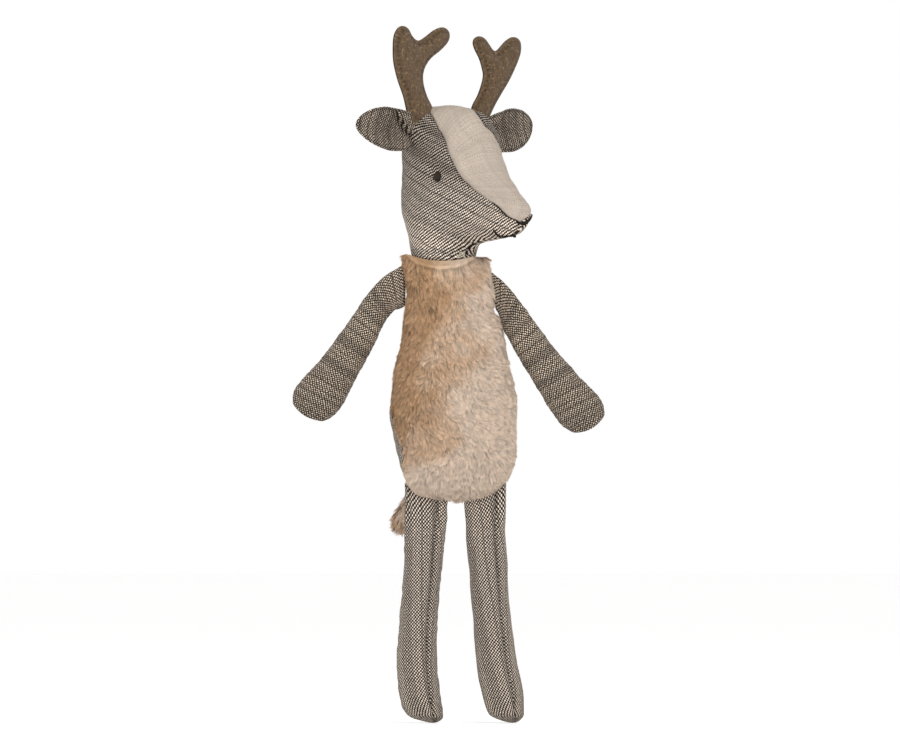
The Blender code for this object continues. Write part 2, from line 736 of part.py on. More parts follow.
def leg_form(bends: Sequence[float], toe: float) -> Form:
    """Return a leg from its hip seam down to the toe."""
    rings = []
    for (place, width, depth), bend, foot in zip(LEG_SHARES, bends, LEG_FOOT_SHARES):
        centre = Vector((bend * LEG_HALF_WIDTH, -foot * LEG_HALF_DEPTH, -place * LEG_LENGTH))
        rings.append(
            Ring(centre, Vector((0, -1, 0)), Vector((1, 0, 0)), depth * LEG_HALF_DEPTH, width * LEG_HALF_WIDTH)
        )
    end = Vector((toe * LEG_HALF_WIDTH, -LEG_TOE_FORWARD_SHARE * LEG_HALF_DEPTH, -LEG_LENGTH))
    return Form(rings, Vector((0.0, 0.0, 0.0)), end, LEG_COLUMNS)


def tail_form() -> Form:
    """Return the tail from its root on the back."""
    step = Vector(TAIL_TIP_STEP)
    across = Vector((0.0, 1.0, 0.0)).cross(step).normalized()
    out = step.cross(across).normalized()
    rings = [
        Ring(step * place, across, out, width * TAIL_HALF_WIDTH, width * TAIL_HALF_WIDTH)
        for place, width in TAIL_SHARES
    ]
    return Form(rings, Vector((0.0, 0.0, 0.0)), step, TAIL_COLUMNS)


def ear_layer(side: int, front: bool) -> bmesh.types.BMesh:
    """Return one cloth layer of an ear: a leaf, cupped forwards, from its root outwards."""
    bm = bmesh.new()
    rows = len(EAR_SHARES) - 1
    bmesh.ops.create_grid(bm, x_segments=rows, y_segments=EAR_COLUMNS, size=1.0)
    units = {v: v.co.copy() for v in bm.verts}
    near = list(bm.verts)
    grown = bmesh.ops.extrude_face_region(bm, geom=bm.faces[:], use_keep_orig=True)
    far = [item for item in grown["geom"] if isinstance(item, bmesh.types.BMVert)]
    units.update({v: v.co.copy() for v in far})
    low = PIECE_GAP / 2.0 if front else -PIECE_GAP / 2.0 - EAR_LAYER
    for verts, depth in ((near, low), (far, low + EAR_LAYER)):
        for vert in verts:
            unit = units[vert]
            place, width = EAR_SHARES[round((unit.x + 1.0) / 2.0 * rows)]
            cup = EAR_CUP * (unit.y * width) ** 2
            vert.co = Vector((depth + cup, side * place * EAR_LENGTH, unit.y * width * EAR_HALF_WIDTH))
    return bm


def box_cutter(name: str, low: Vector, high: Vector, parent, collection) -> bpy.types.Object:
    """Return a box-shaped cutter between two corners."""
    bm = bmesh.new()
    bmesh.ops.create_cube(bm, size=1.0)
    size = high - low
    bmesh.ops.scale(bm, verts=bm.verts, vec=size)
    bmesh.ops.translate(bm, verts=bm.verts, vec=(low + high) / 2.0)
    return as_cutter(object_from(bm, name, parent, None, collection))


def ball_cutter(name: str, radius: float, place, parent, collection) -> bpy.types.Object:
    """Return a ball-shaped cutter."""
    bm = bmesh.new()
    bmesh.ops.create_uvsphere(bm, u_segments=CUT_BALL_SEGMENTS, v_segments=CUT_BALL_RINGS, radius=radius)
    bmesh.ops.translate(bm, verts=bm.verts, vec=place)
    return as_cutter(object_from(bm, name, parent, None, collection))


class Deer:
    """Builds the toy piece by piece."""

    def __init__(self) -> None:
        """Make the collections and the frame that every joint hangs from."""
        self.pieces = new_collection("plush_deer")
        self.cutters = new_collection("cutters")
        self.frame = new_empty("deer_frame", None, (FRAME_SIDE, FRAME_DEPTH, 0.0), self.pieces)

    def build(self) -> None:
        """Make every piece."""
        self.add_torso()
        self.add_tail()
        self.add_neck()
        self.add_head()
        self.add_face()
        for side, name in ((-1, "right"), (1, "left")):
            self.add_ear(side, name)
            self.add_antler(side, name)
        right = arm_form(-1, ARM_RIGHT_LENGTH, ARM_RIGHT_RISE, SHOULDER_RIGHT_LEAN_DEG)
        left = arm_form(1, ARM_LEFT_LENGTH, ARM_LEFT_RISE, SHOULDER_LEFT_LEAN_DEG)
        self.add_limb("arm_right", right, SHOULDER_RIGHT, ("front", "back"))
        self.add_limb("arm_left", left, SHOULDER_LEFT, ("front", "back"))
        right = leg_form(LEG_BEND_RIGHT_SHARES, LEG_TOE_RIGHT_SHARE)
        left = leg_form(LEG_BEND_LEFT_SHARES, LEG_TOE_LEFT_SHARE)
        self.add_limb("leg_right", right, HIP_RIGHT, ("outer", "inner"))
        self.add_limb("leg_left", left, HIP_LEFT, ("inner", "outer"))

    def add_torso(self) -> None:
        """Make the fur front, the tweed back and their stuffing."""
        form = torso_form()
        neck = Vector((NECK_SIDE, 0.0, TORSO_TOP + NECK_PIVOT_LIFT))
        cup = ball_cutter("neck_cup_cut", NECK_BALL_RADIUS + PIECE_GAP, neck, self.frame, self.cutters)
        core_cup = ball_cutter(
            "neck_core_cut", NECK_BALL_RADIUS + PIECE_GAP + TWEED, neck, self.frame, self.cutters
        )
        deepest = TORSO_HALF_DEPTH * max(row[3] for row in TORSO_SHARES)
        flat = self.back_flat_cutter(deepest)
        front = object_from(stuffed_panel(form, Side.LOW, FUR), "torso_front_fur", self.frame, FUR_CLOTH, self.pieces)
        back = object_from(stuffed_panel(form, Side.HIGH, TWEED), "torso_back", self.frame, TWEED_CLOTH, self.pieces)
        core = object_from(
            stuffed_core(form, FUR + CORE_EASE), "torso_stuffing", self.frame, STUFFING, self.pieces
        )
        for piece, ball in ((front, cup), (back, cup), (core, core_cup)):
            subdivide(piece)
            cut(piece, ball, "neck_cup")
        cut(back, flat, "back_flat")

    def back_flat_cutter(self, deepest: float) -> bpy.types.Object:
        """Return the cutter that makes a small flat at the rearmost place of the back."""
        low = Vector((-CUT_OVERRUN, deepest - BACK_FLAT_CUT, BACK_FLAT_HEIGHT - CUT_OVERRUN / 2.0))
        high = Vector((CUT_OVERRUN, deepest + CUT_OVERRUN, BACK_FLAT_HEIGHT + CUT_OVERRUN / 2.0))
        return box_cutter("back_flat_cut", low, high, self.frame, self.cutters)

    def add_tail(self) -> None:
        """Make the tail, a folded piece of fur cloth on its hinge point."""
        pivot = new_empty("tail_pivot", self.frame, TAIL_ROOT, self.pieces)
        tail = object_from(stuffed_core(tail_form(), 0.0), "tail_fur", pivot, FUR_CLOTH, self.pieces)
        subdivide(tail)
        outer = object_from(stuffed_core(torso_form(), -SEAM_GAP - PIECE_GAP), "torso_outer_cut", self.frame, None,
                            self.cutters)
        subdivide(as_cutter(outer))
        cut(tail, outer, "seat_on_back")

    def add_neck(self) -> None:
        """Make the plug of stuffing that the head nods on."""
        place = (NECK_SIDE, 0.0, TORSO_TOP + NECK_PIVOT_LIFT)
        self.neck = new_empty("neck_pivot", self.frame, place, self.pieces)
        bm = bmesh.new()
        bmesh.ops.create_uvsphere(bm, u_segments=CORE_SEGMENTS, v_segments=CORE_RINGS, radius=1.0)
        bmesh.ops.scale(bm, verts=bm.verts, vec=(NECK_PLUG_RADIUS, NECK_PLUG_RADIUS, NECK_PLUG_HALF_HEIGHT))
        bmesh.ops.translate(bm, verts=bm.verts, vec=(0.0, 0.0, NECK_PLUG_LIFT - NECK_PIVOT_LIFT))
        object_from(bm, "neck_stuffing", self.neck, STUFFING, self.pieces)
        self.head = new_empty("head_pivot", self.neck, (0.0, 0.0, 0.0), self.pieces, HEAD_TURN_DEG)
        # The head's own frame is turned so that +X is the way the muzzle points.
        self.skull = new_empty("head_frame", self.head, (0.0, 0.0, -NECK_PIVOT_LIFT), self.pieces, -90.0)

    def add_head(self) -> None:
        """Make the two tweed sides, the linen face panel and the stuffing."""
        insets = (0.0, TWEED)
        for side, name in ((-1, "right"), (1, "left")):
            bm = ray_panel(HEAD, HEAD_COLUMNS, HEAD_ROWS, blaze_half_width, insets, side)
            object_from(bm, f"head_side_{name}", self.skull, TWEED_CLOTH, self.pieces)
        object_from(blaze_panel((0.0, LINEN)), "face_blaze", self.skull, LINEN_CLOTH, self.pieces)
        bm = ray_core(HEAD, HEAD_COLUMNS, HEAD_ROWS, TWEED + HEAD_CORE_EASE)
        core = object_from(bm, "head_stuffing", self.skull, STUFFING, self.pieces)
        top = NECK_PLUG_LIFT + NECK_PLUG_HALF_HEIGHT + PIECE_GAP
        low = Vector((-CUT_OVERRUN, -CUT_OVERRUN, -CUT_OVERRUN))
        high = Vector((NECK_PLUG_RADIUS + PIECE_GAP, CUT_OVERRUN, top))
        cut(core, box_cutter("neck_room_cut", low, high, self.skull, self.cutters), "neck_room")
        shell = ray_core(HEAD, HEAD_COLUMNS * 2, HEAD_ROWS * 2, -PIECE_GAP)
        self.head_outer = as_cutter(object_from(shell, "head_outer_cut", self.skull, None, self.cutters))

    def add_face(self) -> None:
        """Make the eyes, the nose and the mouth in thread."""
        for side, name in ((-1, "right"), (1, "left")):
            bm, place = eye_body(side)
            eye = object_from(bm, f"eye_{name}", self.skull, THREAD, self.pieces)
            eye.matrix_local = place
        object_from(nose_patch(), "nose_stitch", self.skull, THREAD, self.pieces)
        mouth_thread(self.skull, self.pieces)

    def add_ear(self, side: int, name: str) -> None:
        """Make an ear from a front and a back layer."""
        root = (EAR_ROOT_FORWARD, side * EAR_ROOT_SIDE, EAR_ROOT_LIFT)
        pivot = new_empty(f"ear_{name}_pivot", self.skull, root, self.pieces)
        for front, layer in ((True, "front"), (False, "back")):
            ear = object_from(ear_layer(side, front), f"ear_{name}_{layer}", pivot, TWEED_CLOTH, self.pieces)
            cut(ear, self.head_outer, "seat_on_head")

    def add_antler(self, side: int, name: str) -> None:
        """Make an antler from two felt sides and a little stuffing."""
        drop = ANTLER_LEFT_DROP if side > 0 else 0.0
        stand = new_empty(f"antler_{name}_stand", self.skull, (ANTLER_FORWARD, 0.0, -drop), self.pieces)
        across = Matrix(((0, 0, 1), (side, 0, 0), (0, 1, 0))).to_4x4()
        for half, layer in ((1, "front"), (-1, "back")):
            bm = ray_panel(ANTLER, ANTLER_COLUMNS, ANTLER_ROWS, no_width, (0.0, FELT), half)
            bmesh.ops.transform(bm, matrix=across, verts=bm.verts)
            felt = object_from(bm, f"antler_{name}_{layer}", stand, FELT_CLOTH, self.pieces)
            cut(felt, self.head_outer, "seat_on_head")
        bm = ray_core(ANTLER, ANTLER_COLUMNS, ANTLER_ROWS, FELT + CORE_EASE)
        bmesh.ops.transform(bm, matrix=across, verts=bm.verts)
        core = object_from(bm, f"antler_{name}_stuffing", stand, STUFFING, self.pieces)
        cut(core, self.head_outer, "seat_on_head")

    def add_limb(self, name: str, form: Form, place, panels) -> None:
        """Make a limb's two panels and its stuffing on a pivot at its seam."""
        pivot = new_empty(f"{name}_pivot", self.frame, place, self.pieces)
        for side, panel in zip((Side.LOW, Side.HIGH), panels):
            bm = stuffed_panel(form, side, TWEED)
            subdivide(object_from(bm, f"{name}_{panel}", pivot, TWEED_CLOTH, self.pieces))
        core = stuffed_core(form, TWEED + CORE_EASE)
        subdivide(object_from(core, f"{name}_stuffing", pivot, STUFFING, self.pieces))


def main() -> None:
    """Build the toy."""
    clear_scene()
    Deer().build()


main()
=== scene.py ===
"""Dresses the stuffed cloth deer in tweed, linen, felt, plush fur and embroidery.

Lengths are metres, and cloth places are millimetres. +Z is up, and the chest faces -Y.
"""

import logging
import math
from dataclasses import dataclass, replace
from enum import Enum
from typing import Callable, Mapping, Sequence

import bpy
import numpy as np
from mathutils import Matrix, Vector
from mathutils.kdtree import KDTree


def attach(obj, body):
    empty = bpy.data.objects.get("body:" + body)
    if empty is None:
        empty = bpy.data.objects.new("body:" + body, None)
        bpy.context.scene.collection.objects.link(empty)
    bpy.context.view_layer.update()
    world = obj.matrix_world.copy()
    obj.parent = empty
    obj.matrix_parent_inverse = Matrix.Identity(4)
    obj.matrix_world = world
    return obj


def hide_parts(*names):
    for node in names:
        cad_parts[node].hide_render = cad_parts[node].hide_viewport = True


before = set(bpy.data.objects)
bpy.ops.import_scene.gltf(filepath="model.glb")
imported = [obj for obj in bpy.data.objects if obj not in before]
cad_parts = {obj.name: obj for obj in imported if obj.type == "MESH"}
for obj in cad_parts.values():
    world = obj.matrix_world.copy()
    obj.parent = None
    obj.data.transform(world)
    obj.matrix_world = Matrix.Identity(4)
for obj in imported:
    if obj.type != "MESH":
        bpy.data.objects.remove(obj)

Array = np.ndarray
Colour = tuple[float, float, float]
Spot = tuple[float, float, float]
Field = Callable[[Array], Array]
Piece = bpy.types.Object
Node = bpy.types.Node
Socket = bpy.types.NodeSocket

LOG = logging.getLogger("deer")
TAU = 2.0 * math.pi
MM = 1000.0
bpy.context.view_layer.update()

FRAME_PLACE = np.array((0.0026, 0.0033, 0.0))


class Side(Enum):
    """The toy's own right or left."""

    RIGHT = -1
    LEFT = 1

    @property
    def word(self) -> str:
        """Return the side's name in lower case."""
        return self.name.lower()


class Half(Enum):
    """Which half of a two-panel form a panel covers."""

    LOW = -1
    HIGH = 1


class SocketKind(Enum):
    """Types of the sockets of a node group."""

    NUMBER = "NodeSocketFloat"
    PLACE = "NodeSocketVector"


# Curves, waves and grids


def smooth_curve(knots: Sequence[float], values: Sequence[float], places: Array) -> Array:
    """Return a smooth line through knots that never overshoots them.

    Args:
        knots: Rising places of the known values.
        values: The value at each knot.
        places: Where to read the line.

    Returns:
        The value at each place.
    """
    x = np.asarray(knots, float)
    y = np.asarray(values, float)
    step = np.diff(x)
    rise = np.diff(y) / step
    slope = np.empty_like(y)
    slope[0] = rise[0]
    slope[-1] = rise[-1]
    first = 2.0 * step[1:] + step[:-1]
    second = step[1:] + 2.0 * step[:-1]
    safe_low = np.where(rise[:-1] == 0.0, 1.0, rise[:-1])
    safe_high = np.where(rise[1:] == 0.0, 1.0, rise[1:])
    middle = (first + second) / (first / safe_low + second / safe_high)
    slope[1:-1] = np.where(rise[:-1] * rise[1:] > 0.0, middle, 0.0)
    index = np.clip(np.searchsorted(x, places) - 1, 0, len(step) - 1)
    t = np.clip((places - x[index]) / step[index], 0.0, 1.0)
    width = step[index]
    start = (2.0 * t**3 - 3.0 * t**2 + 1.0) * y[index] + (t**3 - 2.0 * t**2 + t) * width * slope[index]
    end = (3.0 * t**2 - 2.0 * t**3) * y[index + 1] + (t**3 - t**2) * width * slope[index + 1]
    return start + end


def smooth_root(knots: Sequence[float], values: Sequence[float], places: Array) -> Array:
    """Return half sizes that round off where they run down to zero.

    Args:
        knots: Rising places of the known half sizes.
        values: The half size at each knot.
        places: Where to read them.

    Returns:
        The half size at each place.
    """
    squares = smooth_curve(knots, np.asarray(values, float) ** 2, places)
    return np.sqrt(np.clip(squares, 0.0, None))


def eased(count: int, share: float = 0.6) -> Array:
    """Return places from 0 to 1 that lie closer together near both ends."""
    t = np.linspace(0.0, 1.0, count)
    return (1.0 - share) * t + share * (0.5 - 0.5 * np.cos(math.pi * t))


def smooth_step(low: float, high: float, values: Array) -> Array:
    """Return 0 below low, 1 above high and a soft rise between them."""
    t = np.clip((values - low) / (high - low), 0.0, 1.0)
    return t * t * (3.0 - 2.0 * t)


def bell(distance: Array, width: float) -> Array:
    """Return 1 at no distance, falling away over a width."""
    return np.exp(-((distance / width) ** 2))


def run_lengths(points: Array, axis: int = 0) -> Array:
    """Return how far along its line each point lies.

    Args:
        points: Places, with their coordinates on the last axis.
        axis: The axis that the line runs along.

    Returns:
        The distance of each point from the line's start.
    """
    steps = np.linalg.norm(np.diff(points, axis=axis), axis=-1)
    return np.concatenate([np.zeros_like(np.take(steps, [0], axis=axis)), np.cumsum(steps, axis=axis)], axis=axis)


def greys(values: Array) -> Array:
    """Return each value as a grey of three equal parts."""
    return np.repeat(values[..., None], 3, axis=-1)


def closed_line(knots: Sequence[Sequence[float]], count: int) -> Array:
    """Return a smooth closed line through knots.

    Args:
        knots: The places that the line runs through, in order.
        count: How many points the line has.

    Returns:
        The line's points at even steps of length.
    """
    base = np.asarray(knots, float)
    before, after, last = np.roll(base, 1, axis=0), np.roll(base, -1, axis=0), np.roll(base, -2, axis=0)
    t = np.linspace(0.0, 1.0, 40, endpoint=False)[None, :, None]
    first, second = (after - before)[:, None] / 2.0, (last - base)[:, None] / 2.0
    start, end = base[:, None], after[:, None]
    fine = start + first * t + (3.0 * (end - start) - 2.0 * first - second) * t**2
    fine = (fine + (2.0 * (start - end) + first + second) * t**3).reshape(-1, base.shape[1])
    closed = np.concatenate([fine, fine[:1]])
    length = run_lengths(closed)
    places = np.arange(count) / count * length[-1]
    return np.stack([np.interp(places, length, axis) for axis in closed.T], axis=1)


def unit(vectors: Array) -> Array:
    """Return vectors of length one."""
    length = np.linalg.norm(vectors, axis=-1, keepdims=True)
    return vectors / np.where(length < 1e-12, 1.0, length)


@dataclass(frozen=True)
class Ripples:
    """Soft uneven swelling of stuffed cloth, a sum of slow waves in many directions."""

    amplitude: float
    wavelength: float
    seed: int
    waves: int = 9

    def at(self, points: Array) -> Array:
        """Return the swelling.

        Args:
            points: Places in space, on the last axis.

        Returns:
            The swelling at each place.
        """
        rng = np.random.default_rng(self.seed)
        ways = unit(rng.normal(size=(self.waves, 3)))
        lengths = self.wavelength * rng.uniform(0.6, 1.7, self.waves)
        phases = rng.uniform(0.0, TAU, self.waves)
        sines = np.sin(points @ (ways / lengths[:, None]).T * TAU + phases)
        return sines.sum(axis=-1) * self.amplitude / math.sqrt(self.waves / 2.0)


@dataclass
class Grid:
    """Rows and columns of surface points, with their places on the flat cloth and their shade."""

    points: Array
    cloth: Array
    tints: Array | None = None
    wrap: bool = False

    def normals(self, outward: Array) -> Array:
        """Return the surface's unit normals.

        Args:
            outward: A rough way out at each point.

        Returns:
            Normals that point the same way as these.
        """
        along = np.gradient(self.points, axis=0)
        around = np.gradient(self.points, axis=1)
        if self.wrap:
            around = (np.roll(self.points, -1, axis=1) - np.roll(self.points, 1, axis=1)) / 2.0
        normal = unit(np.cross(along, around))
        sign = np.sign((normal * outward).sum(axis=-1, keepdims=True))
        return normal * np.where(sign == 0.0, 1.0, sign)

    def faces(self) -> Array:
        """Return the four corners of each cell."""
        rows, columns = self.points.shape[:2]
        index = np.arange(rows * columns).reshape(rows, columns)
        right = np.roll(index, -1, axis=1) if self.wrap else index[:, 1:]
        left = index if self.wrap else index[:, :-1]
        cells = np.stack([left[:-1], right[:-1], right[1:], left[1:]], axis=-1)
        return cells.reshape(-1, 4)

    def shades(self) -> Array:
        """Return the shade of each point, white where none is set."""
        return np.ones(self.points.shape) if self.tints is None else self.tints

    def facing(self, outward: Array) -> "Grid":
        """Return the grid with its faces turned to the outside."""
        along = np.diff(self.points, axis=0)[:, :-1]
        around = np.diff(self.points, axis=1)[:-1]
        if float((np.cross(around, along) * outward[:-1, :-1]).sum()) >= 0.0:
            return self
        return Grid(self.points[::-1], self.cloth[::-1], self.shades()[::-1], self.wrap)


def linked_object(name: str, data: bpy.types.ID) -> Piece:
    """Return a new object in the scene."""
    made = bpy.data.objects.new(name, data)
    bpy.context.scene.collection.objects.link(made)
    return made


def mesh_object(name: str, points: Array, faces: Sequence[Sequence[int]], cloth: Array | None = None,
                tints: Array | None = None) -> Piece:
    """Return a linked mesh object.

    Args:
        name: The piece's name.
        points: Vertex places, one a row.
        faces: Corners of the faces.
        cloth: Place of each vertex on the flat cloth, in millimetres.
        tints: Linear colour of each vertex, white where none is given.

    Returns:
        The new object, smooth shaded.
    """
    mesh = bpy.data.meshes.new(name)
    mesh.from_pydata(points.reshape(-1, 3).tolist(), [], faces)
    if cloth is not None:
        layer = mesh.uv_layers.new(name="cloth")
        corners = np.empty(len(mesh.loops), np.int32)
        mesh.loops.foreach_get("vertex_index", corners)
        layer.uv.foreach_set("vector", cloth.reshape(-1, 2)[corners].astype(np.float32).ravel())
    colours = np.ones((len(mesh.vertices), 4), np.float32)
    if tints is not None:
        colours[:, :3] = tints.reshape(-1, 3)
    layer = mesh.color_attributes.new(name="tint", type="FLOAT_COLOR", domain="POINT")
    layer.data.foreach_set("color", colours.ravel())
    mesh.shade_smooth()
    mesh.update()
    return linked_object(name, mesh)


def grids_object(name: str, grids: Sequence[Grid]) -> Piece:
    """Return one mesh object made of several grids.

    Args:
        name: The piece's name.
        grids: The surfaces that it is made of.

    Returns:
        The new object.
    """
    faces, start = [], 0
    for grid in grids:
        faces += (grid.faces() + start).tolist()
        start += grid.points[..., 0].size
    points = np.concatenate([grid.points.reshape(-1, 3) for grid in grids])
    cloth = np.concatenate([grid.cloth.reshape(-1, 2) for grid in grids])
    tints = np.concatenate([grid.shades().reshape(-1, 3) for grid in grids])
    return mesh_object(name, points, faces, cloth, tints)


# Node groups and finishes


class Bench:
    """Adds nodes to one tree and joins them."""

    def __init__(self, tree: bpy.types.NodeTree) -> None:
        """Keep the tree to work on."""
        self.tree = tree

    def feed(self, socket: Socket, value: object) -> None:
        """Join an output to a socket, or set the socket's value."""
        if isinstance(value, Socket):
            self.tree.links.new(value, socket)
        else:
            socket.default_value = value

    def node(self, kind: str, inputs: Mapping[object, object] | None = None, **settings: object) -> Node:
        """Return a new node with its inputs fed and its settings set.

        Args:
            kind: The node's type.
            inputs: What each input gets, by name or number.
            **settings: Values of the node's own settings, which are set first.

        Returns:
            The new node.
        """
        made = self.tree.nodes.new(kind)
        for name, value in settings.items():
            setattr(made, name, value)
        for key, value in (inputs or {}).items():
            self.feed(made.inputs[key], value)
        return made

    def math(self, operation: str, first: object, second: object = 0.0) -> Socket:
        """Return the result of one sum."""
        return self.node("ShaderNodeMath", {0: first, 1: second}, operation=operation).outputs[0]

    def vector(self, operation: str, first: object, second: object = (0.0, 0.0, 0.0)) -> Socket:
        """Return the result of one vector sum."""
        return self.node("ShaderNodeVectorMath", {0: first, 1: second}, operation=operation).outputs[0]

    def scaled(self, first: object, scale: object) -> Socket:
        """Return a vector times a number."""
        return self.node("ShaderNodeVectorMath", {0: first, "Scale": scale}, operation="SCALE").outputs[0]

    def blend(self, share: object, low: object, high: object) -> Socket:
        """Return a number between two others."""
        return self.node("ShaderNodeMix", {0: share, 2: low, 3: high}, data_type="FLOAT").outputs[0]

    def tint(self, share: object, low: object, high: object, how: str = "MIX") -> Socket:
        """Return a mix of two colours."""
        inputs = {0: share, 6: rgba(low), 7: rgba(high)}
        return self.node("ShaderNodeMix", inputs, data_type="RGBA", blend_type=how).outputs[2]

    def ramp(self, value: object, low: float, high: float) -> Socket:
        """Return 0 below low, 1 above high and a soft rise between them."""
        inputs = {"Value": value, "From Min": low, "From Max": high}
        return self.node("ShaderNodeMapRange", inputs, interpolation_type="SMOOTHSTEP").outputs[0]

    def grey(self, value: object) -> Socket:
        """Return a number as a grey."""
        return self.node("ShaderNodeCombineColor", {0: value, 1: value, 2: value}).outputs[0]

    def cloth_place(self) -> Socket:
        """Return the place on the flat cloth, in millimetres."""
        return self.node("ShaderNodeUVMap", uv_map="cloth").outputs[0]

    def shading(self) -> Socket:
        """Return the colour that the mesh carries at each point, painted shade included."""
        return self.node("ShaderNodeVertexColor", layer_name="tint").outputs[0]

    def bump(self, shader: Node, height: object, distance: float, strength: float = 0.8) -> None:
        """Give a shader a bumpy normal."""
        inputs = {"Height": height, "Distance": distance, "Strength": strength}
        self.feed(shader.inputs["Normal"], self.node("ShaderNodeBump", inputs).outputs[0])

    def noise(self, place: object, scale: float, detail: float = 2.0, rough: float = 0.5) -> Node:
        """Return a noise node."""
        inputs = {"Vector": place, "Scale": scale, "Detail": detail, "Roughness": rough}
        return self.node("ShaderNodeTexNoise", inputs)


def rgba(colour: object) -> object:
    """Return a colour with an alpha of one, and leave a socket as it is."""
    if isinstance(colour, Socket):
        return colour
    return (*colour, 1.0)


def new_group(name: str, numbers: Mapping[str, float], results: Sequence[str]) -> tuple[Bench, Node, Node]:
    """Return the bench, the input node and the output node of a new node group.

    Args:
        name: The group's name.
        numbers: Name and starting value of each number that it takes beside the Place.
        results: Name of each number that it gives.

    Returns:
        A bench on the group's tree, its input node and its output node.
    """
    tree = bpy.data.node_groups.new(name, "ShaderNodeTree")
    tree.interface.new_socket(name="Place", in_out="INPUT", socket_type=SocketKind.PLACE.value)
    for label, value in numbers.items():
        socket = tree.interface.new_socket(name=label, in_out="INPUT", socket_type=SocketKind.NUMBER.value)
        socket.default_value = value
    for label in results:
        tree.interface.new_socket(name=label, in_out="OUTPUT", socket_type=SocketKind.NUMBER.value)
    bench = Bench(tree)
    return bench, bench.node("NodeGroupInput"), bench.node("NodeGroupOutput")


class Effects:
    """The shared effects: plain weave and loose fibres."""

    def __init__(self) -> None:
        """Build each group once."""
        self.weave = self.build_weave()
        self.fibres = self.build_fibres()

    @staticmethod
    def build_weave() -> bpy.types.NodeTree:
        """Return a plain weave: which yarn is on top, how high it is, and its own shade."""
        numbers = {"Yarn Width": 0.8, "Row Height": 0.8, "Unevenness": 0.1, "Slant": 0.0}
        bench, given, result = new_group("plain_weave", numbers, ("Weft On Top", "Height", "Yarn Shade"))
        widths = {0: given.outputs["Yarn Width"], 1: given.outputs["Row Height"], 2: 1.0}
        sizes = bench.node("ShaderNodeCombineXYZ", widths)
        counted = bench.vector("DIVIDE", given.outputs["Place"], sizes.outputs[0])
        wander = bench.noise(counted, 0.35, 4.0, 0.6).outputs["Color"]
        wander = bench.vector("SUBTRACT", wander, (0.5, 0.5, 0.5))
        place = bench.vector("ADD", counted, bench.scaled(wander, given.outputs["Unevenness"]))
        parts = bench.node("ShaderNodeSeparateXYZ", {0: place})
        across, along = parts.outputs[0], parts.outputs[1]
        column, row = bench.math("FLOOR", across), bench.math("FLOOR", along)
        over = bench.math("FLOORED_MODULO", bench.math("ADD", column, row), 2.0)
        over = bench.math("GREATER_THAN", over, 0.5)
        side = bench.math("SUBTRACT", bench.math("SUBTRACT", across, column), 0.5)
        rise = bench.math("SUBTRACT", bench.math("SUBTRACT", along, row), 0.5)
        side_round = bench.math("MULTIPLY", bench.math("MULTIPLY", side, side), 4.0)
        rise_round = bench.math("MULTIPLY", bench.math("MULTIPLY", rise, rise), 4.0)
        heights = []
        for crown, dip in ((side_round, rise_round), (rise_round, side_round)):
            crown = bench.math("SUBTRACT", 1.0, bench.math("MULTIPLY", crown, 0.85))
            dip = bench.math("SUBTRACT", 1.0, bench.math("MULTIPLY", dip, 0.55))
            heights.append(bench.math("MULTIPLY", crown, dip))
        height = bench.blend(over, heights[0], heights[1])
        wave = bench.math("COSINE", bench.math("MULTIPLY", bench.math("SUBTRACT", across, along), math.pi))
        stripe = bench.math("SUBTRACT", 0.5, bench.math("MULTIPLY", wave, 0.5))
        light = bench.ramp(bench.blend(given.outputs["Slant"], over, stripe), 0.25, 0.75)
        height = bench.blend(bench.math("MULTIPLY", given.outputs["Slant"], 0.8), height, stripe)
        warp = bench.node("ShaderNodeTexWhiteNoise", {"W": column}, noise_dimensions="1D").outputs["Value"]
        weft_row = bench.math("ADD", row, 517.0)
        weft = bench.node("ShaderNodeTexWhiteNoise", {"W": weft_row}, noise_dimensions="1D").outputs["Value"]
        slub = bench.noise(place, 0.8, 2.0).outputs[0]
        shade = bench.blend(0.45, bench.blend(over, warp, weft), slub)
        for name, value in (("Weft On Top", light), ("Height", height), ("Yarn Shade", shade)):
            bench.feed(result.inputs[name], value)
        return bench.tree

    @staticmethod
    def build_fibres() -> bpy.types.NodeTree:
        """Return loose fibres: fine hairs in all directions, and broad flecks."""
        bench, given, result = new_group("loose_fibres", {"Fineness": 4.0}, ("Hair", "Fleck", "Speck"))
        scaled = bench.scaled(given.outputs["Place"], given.outputs["Fineness"])
        hairs = []
        for turn, seed in ((0.4, 0.0), (1.9, 7.0), (2.8, 19.0)):
            mapping = bench.node(
                "ShaderNodeMapping",
                {"Vector": scaled, "Location": (seed, seed, seed), "Rotation": (turn, turn * 0.7, turn),
                 "Scale": (1.0, 0.16, 0.5)},
            )
            hairs.append(bench.noise(mapping.outputs[0], 1.0, 3.0, 0.6).outputs[0])
        hair = bench.math("MAXIMUM", bench.math("MAXIMUM", hairs[0], hairs[1]), hairs[2])
        fleck = bench.noise(scaled, 0.22, 4.0, 0.65).outputs[0]
        bench.feed(result.inputs["Hair"], bench.ramp(hair, 0.42, 0.78))
        bench.feed(result.inputs["Fleck"], fleck)
        speck = bench.noise(scaled, 0.30, 1.0).outputs[0]
        bench.feed(result.inputs["Speck"], bench.ramp(speck, 0.60, 0.70))
        return bench.tree


